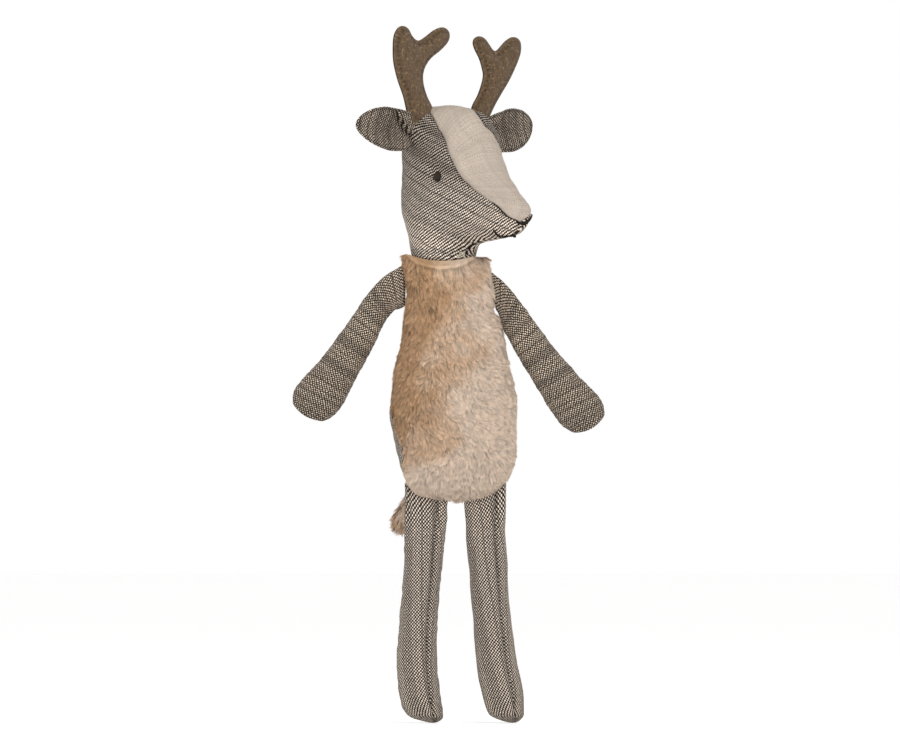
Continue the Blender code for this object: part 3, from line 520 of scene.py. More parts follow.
@dataclass(frozen=True)
class Surface:
    """What every finish shares: how rough and how soft it looks."""

    name: str
    roughness: float = 0.9
    sheen: float = 0.2
    sheen_roughness: float = 0.5
    sheen_tint: Colour = (1.0, 0.95, 0.9)
    specular: float = 0.25

    def start(self) -> tuple[bpy.types.Material, Bench, Node]:
        """Return a new material, a bench on its tree and its shader."""
        made = bpy.data.materials.new(self.name)
        made.use_nodes = True
        shader = made.node_tree.nodes["Principled BSDF"]
        settings = {
            "Roughness": self.roughness, "Sheen Weight": self.sheen, "Sheen Roughness": self.sheen_roughness,
            "Sheen Tint": rgba(self.sheen_tint), "Specular IOR Level": self.specular,
        }
        for name, value in settings.items():
            shader.inputs[name].default_value = value
        return made, Bench(made.node_tree), shader


@dataclass(frozen=True)
class Woven(Surface):
    """Plain-woven cloth with a warp and a weft of their own colours."""

    yarn_width: float = 0.8
    row_height: float = 0.8
    unevenness: float = 0.35
    warp: Colour = (0.03, 0.02, 0.015)
    weft: Colour = (0.6, 0.5, 0.4)
    gap: Colour = (0.02, 0.015, 0.01)
    gap_start: float = 0.70
    gap_share: float = 0.8
    contrast: float = 0.35
    cloudiness: float = 0.14
    hairiness: float = 0.12
    speck: Colour = (0.3, 0.22, 0.16)
    speck_share: float = 0.0
    relief: float = 0.0002
    turn_deg: float = 0.0
    slant: float = 0.0
    fibres_in_yarn: float = 3.0
    hair_relief: float = 0.25

    def material(self, effects: Effects) -> bpy.types.Material:
        """Return the cloth's material."""
        made, bench, shader = self.start()
        turn = (0.0, 0.0, math.radians(self.turn_deg))
        turned = bench.node("ShaderNodeMapping", {"Vector": bench.cloth_place(), "Rotation": turn}).outputs[0]
        sizes = {
            "Place": turned, "Yarn Width": self.yarn_width, "Row Height": self.row_height,
            "Unevenness": self.unevenness, "Slant": self.slant,
        }
        weave = bench.node("ShaderNodeGroup", sizes, node_tree=effects.weave)
        fineness = {"Place": turned, "Fineness": self.fibres_in_yarn / self.yarn_width}
        fibres = bench.node("ShaderNodeGroup", fineness, node_tree=effects.fibres)
        cloth = self.yarns(bench, weave, fibres)
        bench.feed(shader.inputs["Base Color"], bench.tint(1.0, cloth, bench.shading(), "MULTIPLY"))
        hair = bench.math("MULTIPLY", fibres.outputs["Hair"], self.hair_relief)
        bench.bump(shader, bench.math("ADD", weave.outputs["Height"], hair), self.relief, 0.9)
        bench.feed(shader.inputs["Roughness"], bench.blend(weave.outputs["Height"], 1.0, self.roughness))
        return made

    def yarns(self, bench: Bench, weave: Node, fibres: Node) -> Socket:
        """Return the colour of the yarns, the gaps between them and the specks on them.

        Args:
            bench: The bench on the material's tree.
            weave: The weave's group node.
            fibres: The loose fibres' group node.

        Returns:
            The colour of the cloth before its shading along the seams.
        """
        yarn = bench.tint(weave.outputs["Weft On Top"], self.warp, self.weft)
        shade = bench.blend(weave.outputs["Yarn Shade"], 1.0 - self.contrast, 1.0 + self.contrast)
        yarn = bench.tint(1.0, yarn, bench.grey(shade), "MULTIPLY")
        hair_share = bench.math("MULTIPLY", fibres.outputs["Hair"], self.hairiness)
        yarn = bench.tint(hair_share, yarn, tuple(0.5 * (a + b) for a, b in zip(self.warp, self.weft)))
        gap_mask = bench.ramp(weave.outputs["Height"], self.gap_start, self.gap_start * 0.45)
        cloth = bench.tint(bench.math("MULTIPLY", gap_mask, self.gap_share), yarn, self.gap)
        specks = bench.math("MULTIPLY", fibres.outputs["Speck"], self.speck_share)
        cloth = bench.tint(specks, cloth, self.speck)
        cloud = bench.ramp(fibres.outputs["Fleck"], 0.3, 0.7)
        cloudy = bench.blend(cloud, 1.0 - self.cloudiness, 1.0 + self.cloudiness)
        return bench.tint(1.0, cloth, bench.grey(cloudy), "MULTIPLY")


@dataclass(frozen=True)
class Felted(Surface):
    """Heathered wool felt, darker along its stitched edge."""

    dark: Colour = (0.09, 0.05, 0.025)
    light: Colour = (0.24, 0.16, 0.1)
    speck: Colour = (0.42, 0.29, 0.15)
    speck_share: float = 0.5
    fineness: float = 1.3
    relief: float = 0.00025

    def material(self, effects: Effects) -> bpy.types.Material:
        """Return the felt's material."""
        made, bench, shader = self.start()
        sizes = {"Place": bench.cloth_place(), "Fineness": self.fineness}
        fibres = bench.node("ShaderNodeGroup", sizes, node_tree=effects.fibres)
        share = bench.blend(0.35, fibres.outputs["Hair"], bench.ramp(fibres.outputs["Fleck"], 0.3, 0.7))
        felt = bench.tint(share, self.dark, self.light)
        felt = bench.tint(bench.math("MULTIPLY", fibres.outputs["Speck"], self.speck_share), felt, self.speck)
        bench.feed(shader.inputs["Base Color"], bench.tint(1.0, felt, bench.shading(), "MULTIPLY"))
        bench.bump(shader, bench.math("ADD", fibres.outputs["Hair"], fibres.outputs["Fleck"]), self.relief)
        bench.feed(shader.inputs["Roughness"], bench.blend(fibres.outputs["Hair"], 1.0, self.roughness))
        return made


@dataclass(frozen=True)
class Furry(Surface):
    """Plush pile or the knit under it, tinted strand by strand."""

    streak: float = 0.12
    streaks: float = 420.0

    def material(self, _effects: Effects) -> bpy.types.Material:
        """Return the pile's material."""
        made, bench, shader = self.start()
        place = bench.node("ShaderNodeTexCoord").outputs["Object"]
        cloud = bench.noise(place, self.streaks, 3.0).outputs[0]
        shade = bench.blend(bench.ramp(cloud, 0.3, 0.7), 1.0 - self.streak, 1.0 + self.streak)
        bench.feed(shader.inputs["Base Color"], bench.tint(1.0, bench.shading(), shade, "MULTIPLY"))
        bench.feed(shader.inputs["Roughness"], bench.blend(cloud, 0.7, self.roughness))
        return made


@dataclass(frozen=True)
class Threaded(Surface):
    """Twisted embroidery thread, with painted highlight on the crest of each ply and painted shade between the plies.
    """

    colour: Colour = (0.03, 0.02, 0.015)
    # colour of the painted highlight on the ply crests
    light: Colour = (0.09, 0.06, 0.045)
    twist: float = 0.55
    relief: float = 0.0001

    def material(self, _effects: Effects) -> bpy.types.Material:
        """Return the thread's material."""
        made, bench, shader = self.start()
        parts = bench.node("ShaderNodeSeparateXYZ", {0: bench.cloth_place()})
        around = bench.math("MULTIPLY", parts.outputs[0], 2.0)
        along = bench.math("DIVIDE", parts.outputs[1], self.twist)
        wave = bench.math("SINE", bench.math("MULTIPLY", bench.math("ADD", around, along), TAU))
        ply = bench.ramp(wave, -0.9, 0.9)
        # painted highlight on each ply's crest, painted shade in the grooves between
        bench.feed(shader.inputs["Base Color"], bench.tint(ply, self.colour, self.light))
        bench.bump(shader, ply, self.relief)
        bench.feed(shader.inputs["Roughness"], bench.blend(ply, 0.9, self.roughness))
        return made


TWEED = Woven(
    "tweed", roughness=0.95, sheen=0.06, sheen_roughness=0.35, sheen_tint=(0.93, 0.87, 0.88), yarn_width=0.76,
    row_height=0.70, unevenness=1.0, warp=(0.010, 0.006, 0.004), weft=(0.93, 0.79, 0.66),
    gap=(0.008, 0.005, 0.003), gap_share=0.96, contrast=0.55, relief=0.00028, slant=0.30, turn_deg=95.0,
)
ARM_TWEED = replace(
    TWEED, name="arm_tweed", yarn_width=0.68, row_height=0.70, unevenness=1.6, contrast=0.80, cloudiness=0.26,
    weft=(0.78, 0.64, 0.50), warp=(0.016, 0.010, 0.006), slant=0.12, turn_deg=0.0,
)
HEAD_TWEED = replace(
    TWEED, name="head_tweed", yarn_width=0.78, row_height=0.82, unevenness=1.3, contrast=0.6, cloudiness=0.2,
    slant=0.50, turn_deg=21.5, weft=(1.0, 0.85, 0.71),
)
# the arm tweed with a darker weft: painted shade for ears turned from the light
EAR_PAINTED_SHADE_TWEED = replace(ARM_TWEED, name="ear_tweed", turn_deg=12.0, weft=(0.66, 0.54, 0.43))
LINEN = Woven(
    "linen", roughness=0.88, sheen=0.1, yarn_width=0.42, row_height=0.40, unevenness=0.8,
    warp=(0.68, 0.57, 0.47), weft=(0.86, 0.745, 0.635), gap=(0.32, 0.25, 0.19), gap_start=0.6, gap_share=0.7,
    contrast=0.30, cloudiness=0.07, speck=(0.30, 0.22, 0.165), speck_share=0.6, relief=0.00014,
)
FELT = Felted("felt", roughness=0.92, sheen=0.12, dark=(0.085, 0.051, 0.026), light=(0.25, 0.165, 0.096),
              fineness=2.6)
FIBRE = Felted("loose_fibre", roughness=0.9, dark=(0.62, 0.60, 0.56), light=(0.82, 0.81, 0.78))
PILE = Furry("plush_pile", roughness=0.75, sheen=0.08, sheen_roughness=0.35)
THREAD = Threaded("dark_thread", roughness=0.6, sheen=0.0, colour=(0.006, 0.004, 0.003), light=(0.028, 0.019, 0.013))
# a stronger painted highlight on the ply crests, which lightens the eye's middle
EYE_THREAD = replace(
    THREAD, name="eye_thread", roughness=0.5, colour=(0.010, 0.007, 0.004), light=(0.075, 0.056, 0.034)
)
PALE_THREAD = Threaded("pale_thread", roughness=0.6, colour=(0.55, 0.47, 0.38), light=(0.78, 0.70, 0.60))


class Wardrobe:
    """Makes each finish's material once."""

    def __init__(self) -> None:
        """Build the shared effects."""
        self.effects = Effects()
        self.made: dict[str, bpy.types.Material] = {}

    def dress(self, piece: Piece, finish: Surface) -> Piece:
        """Give a piece its finish."""
        if finish.name not in self.made:
            self.made[finish.name] = finish.material(self.effects)
        piece.data.materials.clear()
        piece.data.materials.append(self.made[finish.name])
        return piece


@dataclass(frozen=True)
class Place:
    """What a piece rides on and what it stands for."""

    body: str
    slot: str
    nodes: tuple[str, ...] = ()
    fill: float | None = None

    def settle(self, piece: Piece) -> Piece:
        """Hang a piece on its body, hide the parts that it stands for, and log it."""
        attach(piece, self.body)
        if self.nodes:
            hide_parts(*self.nodes)
        LOG.info("%s rides on %s, %d faces", piece.name, self.body, len(piece.data.polygons))
        return piece


# Stuffed forms


@dataclass(frozen=True)
class Sections:
    """Cross-sections of a stuffed form at many places along it."""

    centres: Array
    seam_ways: Array
    thick_ways: Array
    half_seam: Array
    half_thick: Array

    def lengths(self) -> Array:
        """Return each section's distance along the form."""
        return run_lengths(self.centres)

    def half_ring(self, half: Half, columns: int, inset: float, turn: float,
                  past: tuple[Array, Array]) -> tuple[Array, Array]:
        """Return the points of one half, and the ways out from the middle line.

        Args:
            half: Which half of the form.
            columns: How many points each section has.
            inset: How far the surface is drawn in.
            turn: How far the seams are turned round the form.
            past: How far the panel reaches past its first and its last seam, as angles at each section.

        Returns:
            The points and the outward unit vectors, both rows by columns by three.
        """
        share = np.linspace(0.0, 1.0, columns)[None, :]
        first, last = (np.broadcast_to(side, self.half_seam.shape)[:, None] for side in past)
        angle = ((math.pi + first + last) * share - first) * half.value + turn
        angle = angle[..., None]
        seam = np.clip(self.half_seam - inset, self.half_seam * 0.3, None)[:, None, None]
        thick = np.clip(self.half_thick - inset, self.half_thick * 0.3, None)[:, None, None]
        out = self.seam_ways[:, None] * seam * np.cos(angle) + self.thick_ways[:, None] * thick * np.sin(angle)
        ways = self.seam_ways[:, None] * np.cos(angle) + self.thick_ways[:, None] * np.sin(angle)
        return self.centres[:, None] + out, unit(ways)


@dataclass(frozen=True)
class Sewing:
    """How a panel shows that it is sewn and stuffed, with painted shade in its seam groove and at its sewn-on end."""

    groove: float = 0.0005
    groove_width: float = 0.0010
    pucker: float = 0.00009
    pucker_pitch: float = 0.0031
    pucker_width: float = 0.0030
    swell: float = 0.00015
    swell_size: float = 0.024
    creases: float = 0.00011
    crease_size: float = 0.0065
    gather: float = 0.00022
    gather_reach: float = 0.011
    gather_count: float = 6.0
    # strength of the painted shade in the seam groove and at the sewn-on end
    shade: float = 0.30
    stitch_pitch: float = 0.0021

    def relief(self, points: Array, seam: Array, along: Array, share: Array,
               seed: int) -> Array:
        """Return how far each point stands out.

        Args:
            points: The surface points.
            seam: Distance from the nearer seam.
            along: Distance from the end that is sewn on.
            share: Place across the panel, from 0 to 1.
            seed: Which pattern of swelling.

        Returns:
            The outward shift of each point.
        """
        stitches = np.cos(TAU * along / self.pucker_pitch + np.sin(along / self.pucker_pitch * 1.7))
        relief = -self.groove * bell(seam, self.groove_width)
        relief = relief + self.pucker * stitches * bell(seam, self.pucker_width)
        folds = np.cos(TAU * self.gather_count * share + 1.3 * np.sin(TAU * share + seed))
        relief = relief + self.gather * folds * bell(along, self.gather_reach)
        soft = Ripples(self.swell, self.swell_size, seed).at(points)
        fine = Ripples(self.creases, self.crease_size, seed + 1).at(points)
        return relief + (soft + fine) * (1.0 - 0.6 * bell(seam, self.groove_width))

    def tint(self, seam: Array, along: Array) -> Array:
        """Return painted shade for the cloth: darker in the seam's groove, more so at each stitch, and along the end
        that is sewn on.

        Args:
            seam: Distance from the nearer seam.
            along: Distance from the end that is sewn on.

        Returns:
            A grey for each point.
        """
        stitches = 0.5 + 0.5 * np.cos(TAU * along / self.stitch_pitch)
        # painted shade in the seam's groove, stronger at each stitch, and along the sewn-on end where the parts meet
        dark = self.shade * bell(seam, self.groove_width * 0.9) * (0.6 + 0.4 * stitches)
        dark = dark + self.shade * 0.8 * bell(along, self.groove_width * 1.2)
        return greys(1.0 - np.clip(dark, 0.0, 0.8))


def cloth_places(points: Array, along: Array, way: int = 1) -> Array:
    """Return flat cloth places of a panel: across from its middle column, and along, in millimetres."""
    across = run_lengths(points, 1)
    across = (across - across[:, across.shape[1] // 2][:, None]) * way
    return np.stack([across, np.broadcast_to(along[:, None], across.shape)], axis=-1) * MM


@dataclass(frozen=True)
class StuffedForm:
    """A form sewn from two panels."""

    sections: Sections
    sewing: Sewing
    origin: Array
    seed: int
    columns: int = 56
    turn: float = 0.0

    def panel(self, half: Half, inset: float = 0.0, plain: bool = False,
              past: tuple[Array | float, Array | float] = (0.0, 0.0)) -> tuple[Grid, Array]:
        """Return one panel and its outward ways.

        Args:
            half: Which half of the form.
            inset: How far the panel is drawn in.
            plain: Whether the small seam detail is left off.
            past: How far the panel reaches past its seams, as angles.

        Returns:
            The panel's grid and the outward unit vectors.
        """
        points, ways = self.sections.half_ring(half, self.columns, inset, self.turn, past)
        along = self.sections.lengths()
        from_start = run_lengths(points, 1)
        seam = np.minimum(from_start, from_start[:, -1:] - from_start)
        share = from_start / np.maximum(from_start[:, -1:], 1e-9)
        reach = np.broadcast_to(along[:, None], seam.shape)
        if plain:
            relief = Ripples(self.sewing.swell, self.sewing.swell_size, self.seed).at(points)
        else:
            relief = self.sewing.relief(points, seam, reach, share, self.seed)
        girth = self.sections.half_thick[:, None] / max(float(self.sections.half_thick.max()), 1e-9)
        relief = relief * np.clip(girth * 1.6, 0.0, 1.0)
        moved = points + ways * relief[..., None]
        # the panel carries the painted shade of its seams
        grid = Grid(moved + self.origin, cloth_places(points, along, -1), self.sewing.tint(seam, reach))
        return grid.facing(ways), ways


# The torso


@dataclass(frozen=True)
class Torso:
    """The body: a plush front, a tweed back and the collar that the neck sits in."""

    bottom: float = 0.1013
    top: float = 0.2106
    half_width: float = 0.0279
    half_depth: float = 0.0187
    heights: tuple[float, ...] = (1.0, 0.985, 0.90, 0.77, 0.63, 0.49, 0.34, 0.20, 0.105, 0.045, 0.010, 0.0)
    asides: tuple[float, ...] = (-0.13, -0.13, -0.09, -0.05, -0.02, 0.0, 0.0, 0.03, 0.05, 0.03, 0.03, 0.03)
    widths: tuple[float, ...] = (0.0, 0.71, 0.71, 0.76, 0.84, 0.94, 1.02, 0.99, 0.88, 0.71, 0.46, 0.0)
    depths: tuple[float, ...] = (0.0, 0.71, 0.74, 0.77, 0.84, 0.94, 1.01, 0.96, 0.76, 0.50, 0.20, 0.0)
    collar_place: Spot = (-0.0045, 0.0, 0.2206)
    collar_radius: float = 0.0184
    fold_height: float = 0.1880
    fold_depth: float = 0.0021
    fold_width: float = 0.0032
    rows: int = 200
    columns: int = 84
    pile_depth: float = 0.0015
    fur_past: float = 0.22
    sliver_height: float = 0.1235
    sliver_reach: float = 0.017
    sliver_share: float = 0.80
    collar_drop: float = 0.0030
    collar_rise: float = 0.0016
    lip: float = 0.0007
    closing_rows: int = 3
    lift: float = 0.002

    def sections(self) -> Sections:
        """Return the torso's cross-sections from the collar down."""
        places = 1.0 - np.array(self.heights)
        fine = eased(self.rows, 0.75)
        aside = smooth_curve(places, self.asides, fine) * self.half_width
        height = self.top - fine * (self.top - self.bottom)
        centres = np.stack([aside, np.zeros_like(fine), height], axis=1)
        count = len(fine)
        return Sections(
            centres, np.tile((1.0, 0.0, 0.0), (count, 1)), np.tile((0.0, 1.0, 0.0), (count, 1)),
            smooth_root(places, self.widths, fine) * self.half_width,
            smooth_root(places, self.depths, fine) * self.half_depth,
        )

    def form(self) -> StuffedForm:
        """Return the torso as a sewn form."""
        sewing = Sewing(groove=0.0004, swell=0.0005, swell_size=0.028, creases=0.0002)
        return StuffedForm(self.sections(), sewing, FRAME_PLACE, 11, self.columns)

    def past_seams(self, sections: Sections) -> tuple[Array, Array]:
        """Return how far the fur reaches round each side: less where a sliver of tweed shows."""
        left = np.full(self.rows, self.fur_past)
        sliver = bell(sections.centres[:, 2] - self.sliver_height, self.sliver_reach)
        return left, left - self.sliver_share * sliver

    def folded(self, grid: Grid, extra: float) -> Grid:
        """Return a panel with the chest's fold, its sloping collar, and drawn back from the neck.

        Args:
            grid: The panel.
            extra: How much further than the tweed back it keeps from the neck.

        Returns:
            The shaped panel.
        """
        local = grid.points - FRAME_PLACE
        side = smooth_step(-0.004, 0.014, local[..., 0])
        line = self.fold_height - 0.10 * local[..., 0]
        fold = bell(local[..., 2] - line, self.fold_width) * side * self.fold_depth
        above = bell(local[..., 2] - line - 0.010, 0.008) * side * self.fold_depth * 0.5
        outward = unit(local - np.array((0.0, 0.0, 1.0)) * local[..., 2:3])
        points = grid.points + outward * (above - fold)[..., None]
        corner = smooth_step(0.004, 0.019, local[..., 0]) * smooth_step(0.188, self.top, local[..., 2])
        rise = smooth_step(0.196, self.top, local[..., 2]) * self.collar_rise * (extra > 0.0)
        points[..., 2] += rise - corner * self.collar_drop
        pivot = np.array(self.collar_place) + FRAME_PLACE
        away = points - pivot
        distance = np.linalg.norm(away, axis=-1, keepdims=True)
        radius = self.collar_radius + extra
        points = np.where(distance < radius, pivot + away / np.maximum(distance, 1e-9) * radius, points)
        return Grid(points, grid.cloth, grid.tints)

    def cover(self, front: Grid) -> Array:
        """Return where the pile stands: everywhere but on the collar's turned-in lip."""
        away = front.points - FRAME_PLACE - np.array(self.collar_place)
        clear = np.linalg.norm(away, axis=-1) > self.collar_radius + self.pile_depth * 0.5 + self.lip
        rows = np.arange(len(front.points))[:, None]
        return (clear & (rows > self.closing_rows)).astype(float)

    def build(self, wardrobe: Wardrobe) -> None:
        """Make the back panel, the plush front and its pile."""
        form = self.form()
        left, right = self.past_seams(form.sections)
        back, _ = form.panel(Half.HIGH, past=(-left, -right))
        piece = grids_object("torso_back_cloth", [self.folded(back, 0.0)])
        Place("torso", "tweed", ("torso_back", "torso_stuffing"), 0.85).settle(wardrobe.dress(piece, TWEED))
        front, _ = form.panel(Half.LOW, self.pile_depth, True, (left, right))
        front = self.folded(front, self.pile_depth * 0.5)
        tone = ChestTone()
        skin = mesh_object("torso_front_knit", front.points, front.faces().tolist(), None, tone.skin(front.points))
        Place("torso", "fur_cloth", ("torso_front_fur",), 0.85).settle(wardrobe.dress(skin, PILE))
        outward = front.points - (FRAME_PLACE + np.array((0.0, 0.010, 0.0)))
        outward[..., 2] *= 0.0
        pile = Pile(
            count=100000, length=0.0042, lift=0.0016, width=0.00020, seed=23, fan=32.0,
            short_above=self.top + self.lift,
        )
        for piece in pile.grow("torso_front_pile", front, outward, tone, self.cover(front)):
            Place("torso", "fur_cloth").settle(wardrobe.dress(piece, PILE))


@dataclass(frozen=True)
class ChestTone:
    """Colours of the plush: golden and darker on its right side, a painted shade where the nap turns from the light;
    paler on its left and below; painted light towards the collar, where the head shades it.
    """

    golden: Colour = (0.64, 0.400, 0.225)
    middle: Colour = (0.82, 0.590, 0.405)
    pale: Colour = (1.00, 0.815, 0.655)
    # collar: painted light towards the collar, where the head shades the plush; low: paler towards the bottom
    collar: float = 1.08
    low: float = 1.10
    heights: tuple[float, ...] = (0.100, 0.1094, 0.1319, 0.1679, 0.2039, 0.215)
    turns: tuple[float, ...] = (-0.034, -0.0260, -0.0100, 0.0005, 0.0020, 0.0025)
    blend_width: float = 0.0115
    knit: float = 0.78

    def at(self, points: Array) -> Array:
        """Return the tone at each point, with its painted shade and light."""
        local = points - FRAME_PLACE
        drift = Ripples(0.0035, 0.030, 5).at(points) + Ripples(0.0018, 0.008, 6).at(points)
        # the golden side's darker tone is painted shade where the nap turns from the light
        across = local[..., 0] + drift - np.interp(local[..., 2], self.heights, self.turns)
        low = smooth_step(-self.blend_width, 0.0, across)[..., None]
        high = smooth_step(0.0, self.blend_width, across)[..., None]
        tone = np.array(self.golden) * (1.0 - low) + np.array(self.middle) * low
        tone = tone * (1.0 - high) + np.array(self.pale) * high
        # painted light towards the collar; paler towards the bottom
        painted_light_and_pale_bottom = 1.0 + (self.collar - 1.0) * smooth_step(0.180, 0.208, local[..., 2])
        painted_light_and_pale_bottom = painted_light_and_pale_bottom * (1.0 + (self.low - 1.0) * smooth_step(-0.118, -0.106, -local[..., 2]))
        return tone * painted_light_and_pale_bottom[..., None]

    def skin(self, points: Array) -> Array:
        """Return the darker tone of the knit under the pile."""
        return self.at(points) * self.knit


@dataclass(frozen=True)
class TailTone(ChestTone):
    """Colours of the tail: one warm tan."""

    def at(self, points: Array) -> Array:
        """Return the tone at each point."""
        drift = smooth_step(-0.5, 0.5, Ripples(0.5, 0.008, 8).at(points))[..., None]
        return np.array(self.middle) * (1.0 - drift) + np.array(self.pale) * drift


STRAND_POINTS = 7
STRAND_TAPER = ((0.0, 1.0), (0.38, 0.95), (0.74, 0.65), (1.0, 0.0))
# painted shade towards each strand's root, deep in the pile, and slightly lighter tips
STRAND_PAINTED_SHADES = (0.58, 0.58, 0.90, 0.90, 1.04, 1.04, 1.08)


@dataclass(frozen=True)
class Pile:
    """Short plush pile: tapering strands that lie down in small tufts."""

    count: int
    length: float
    lift: float
    width: float
    seed: int
    tuft_share: float = 0.78
    unruly: float = 0.22
    strands_in_tuft: int = 15
    swirl: float = 0.28
    swirl_size: float = 0.012
    stray: float = 0.22
    shorter: float = 0.6
    fan: float = 0.0
    fan_middle: float = -0.006
    short_above: float = 1.0
    most_strands: int = 38000

    def grow(self, name: str, skin: Grid, outward: Array, tone: ChestTone,
             cover: Array | None = None) -> list[Piece]:
        """Return the strands as one or more objects.

        Args:
            name: Name of the pieces, before their number.
            skin: The surface that the strands stand on.
            outward: A rough way out at each of its points.
            tone: The strands' colours.
            cover: How thickly the strands stand at each point, all alike where none is given.

        Returns:
            The new objects.
        """
        rng = np.random.default_rng(self.seed)
        count = self.count
        cover = np.ones(skin.points.shape[:2]) if cover is None else cover
        roots, normals, ways = self.roots(skin, outward, cover, count, rng)
        points, tints, facings = self.strands(roots, normals, ways, tone, rng)
        made = []
        for index, start in enumerate(range(0, count, self.most_strands)):
            part = slice(start, min(start + self.most_strands, count))
            base = np.arange(part.stop - part.start)[:, None] * STRAND_POINTS
            quads = (base[:, :, None] + np.array(((1, 0, 2, 3), (3, 2, 4, 5)))[None]).reshape(-1, 4)
            tips = base + np.array((5, 4, 6))[None]
            flat = points[part].reshape(-1, 3)
            strands = mesh_object(
                f"{name}_{index + 1}", flat, quads.tolist() + tips.tolist(), None, tints[part].reshape(-1, 3)
            )
            facing = np.repeat(facings[part], STRAND_POINTS, axis=0)
            strands.data.normals_split_custom_set_from_vertices(facing.tolist())
            made.append(strands)
        return made

    def roots(self, skin: Grid, outward: Array, cover: Array, count: int,
              rng: np.random.Generator) -> tuple[Array, Array, Array]:
        """Return where the strands stand.

        Args:
            skin: The surface that the strands stand on.
            outward: A rough way out at each of its points.
            cover: How thickly the strands stand at each point.
            count: How many strands there are.
            rng: The source of random numbers.

        Returns:
            The strands' roots, their normals and the way that each lies.
        """
        grid = skin.points
        normals = skin.normals(outward)
        down = unit(np.gradient(grid, axis=0))
        if down[..., 2].mean() > 0.0:
            down = -down
        first = grid[1:, :-1] - grid[:-1, :-1]
        second = grid[:-1, 1:] - grid[:-1, :-1]
        area = np.linalg.norm(np.cross(first, second), axis=-1).ravel()
        area = area * cover[:-1, :-1].ravel()
        cells = rng.choice(len(area), size=count, p=area / area.sum())
        row, column = np.divmod(cells, grid.shape[1] - 1)
        a = rng.random(count)[:, None]
        b = rng.random(count)[:, None]

        def spread(values: Array) -> Array:
            """Return values at the random places in the cells."""
            low = values[row, column] * (1.0 - a) + values[row + 1, column] * a
            high = values[row, column + 1] * (1.0 - a) + values[row + 1, column + 1] * a
            return low * (1.0 - b) + high * b

        return spread(grid), unit(spread(normals)), unit(spread(down))

    def strands(self, roots: Array, normals: Array, ways: Array, tone: ChestTone,
                rng: np.random.Generator) -> tuple[Array, Array, Array]:
        """Return the strands' shapes and colours.

        Args:
            roots: Where each strand stands.
            normals: The skin's normal at each root.
            ways: The way that the pile lies there.
            tone: The strands' colours.
            rng: The source of random numbers.

        Returns:
            Seven points and seven colours for each strand, and the way that it faces.
        """
        count = len(roots)
        turn = Ripples(self.swirl, self.swirl_size, self.seed + 2).at(roots) + rng.normal(0.0, self.stray, count)
        turn = turn + self.fan * (roots[:, 0] - FRAME_PLACE[0] - self.fan_middle)
        sideways = unit(np.cross(normals, ways))
        ways = unit(ways * np.cos(turn)[:, None] + sideways * np.sin(turn)[:, None])
        sideways = unit(np.cross(normals, ways))
        length = self.length * rng.uniform(0.7, 1.15, count) * (1.0 + Ripples(0.12, 0.014, self.seed + 3).at(roots))
        short = 1.0 - self.shorter * smooth_step(self.short_above - 0.007, self.short_above, roots[:, 2])
        length = length * short
        lift = self.lift * rng.uniform(0.5, 1.25, count) * short
        tips = roots + ways * length[:, None] + normals * lift[:, None]
        tree_roots = rng.choice(count, size=max(count // self.strands_in_tuft, 1), replace=False)
        tree = KDTree(len(tree_roots))
        for index, chosen in enumerate(tree_roots):
            tree.insert(Vector(roots[chosen]), index)
        tree.balance()
        owner = tree_roots[np.array([tree.find(Vector(root))[1] for root in roots])]
        pull = (tips[owner] - tips) * self.tuft_share * rng.uniform(0.6, 1.1, count)[:, None]
        tilt = rng.normal(0.0, 0.35, count)[:, None]
        flat = unit(sideways * np.cos(tilt) + normals * np.sin(tilt))
        points = []
        for share, width in STRAND_TAPER:
            line = roots + ways * (length * share)[:, None] + pull * share**1.6
            line = line + normals * (lift * (1.0 - (1.0 - share) ** 2))[:, None]
            half = flat * (self.width * width / 2.0)
            points += [line] if width == 0.0 else [line - half, line + half]
        base = tone.at(roots) * rng.normal(1.0, 0.15, count).clip(0.6, 1.4)[:, None]
        base = base * (0.84 + 0.26 * rng.random(count)[owner])[:, None]
        # painted shade towards the roots
        tints = [base * shade for shade in STRAND_PAINTED_SHADES]
        tints = [tint / np.maximum(tint.max(axis=-1, keepdims=True), 1.0) for tint in tints]
        facing = normals + self.unruly * (rng.normal(size=(count, 3))[owner] + 0.7 * rng.normal(size=(count, 3)))
        return np.stack(points, axis=1), np.stack(tints, axis=1), unit(facing)


# The tail


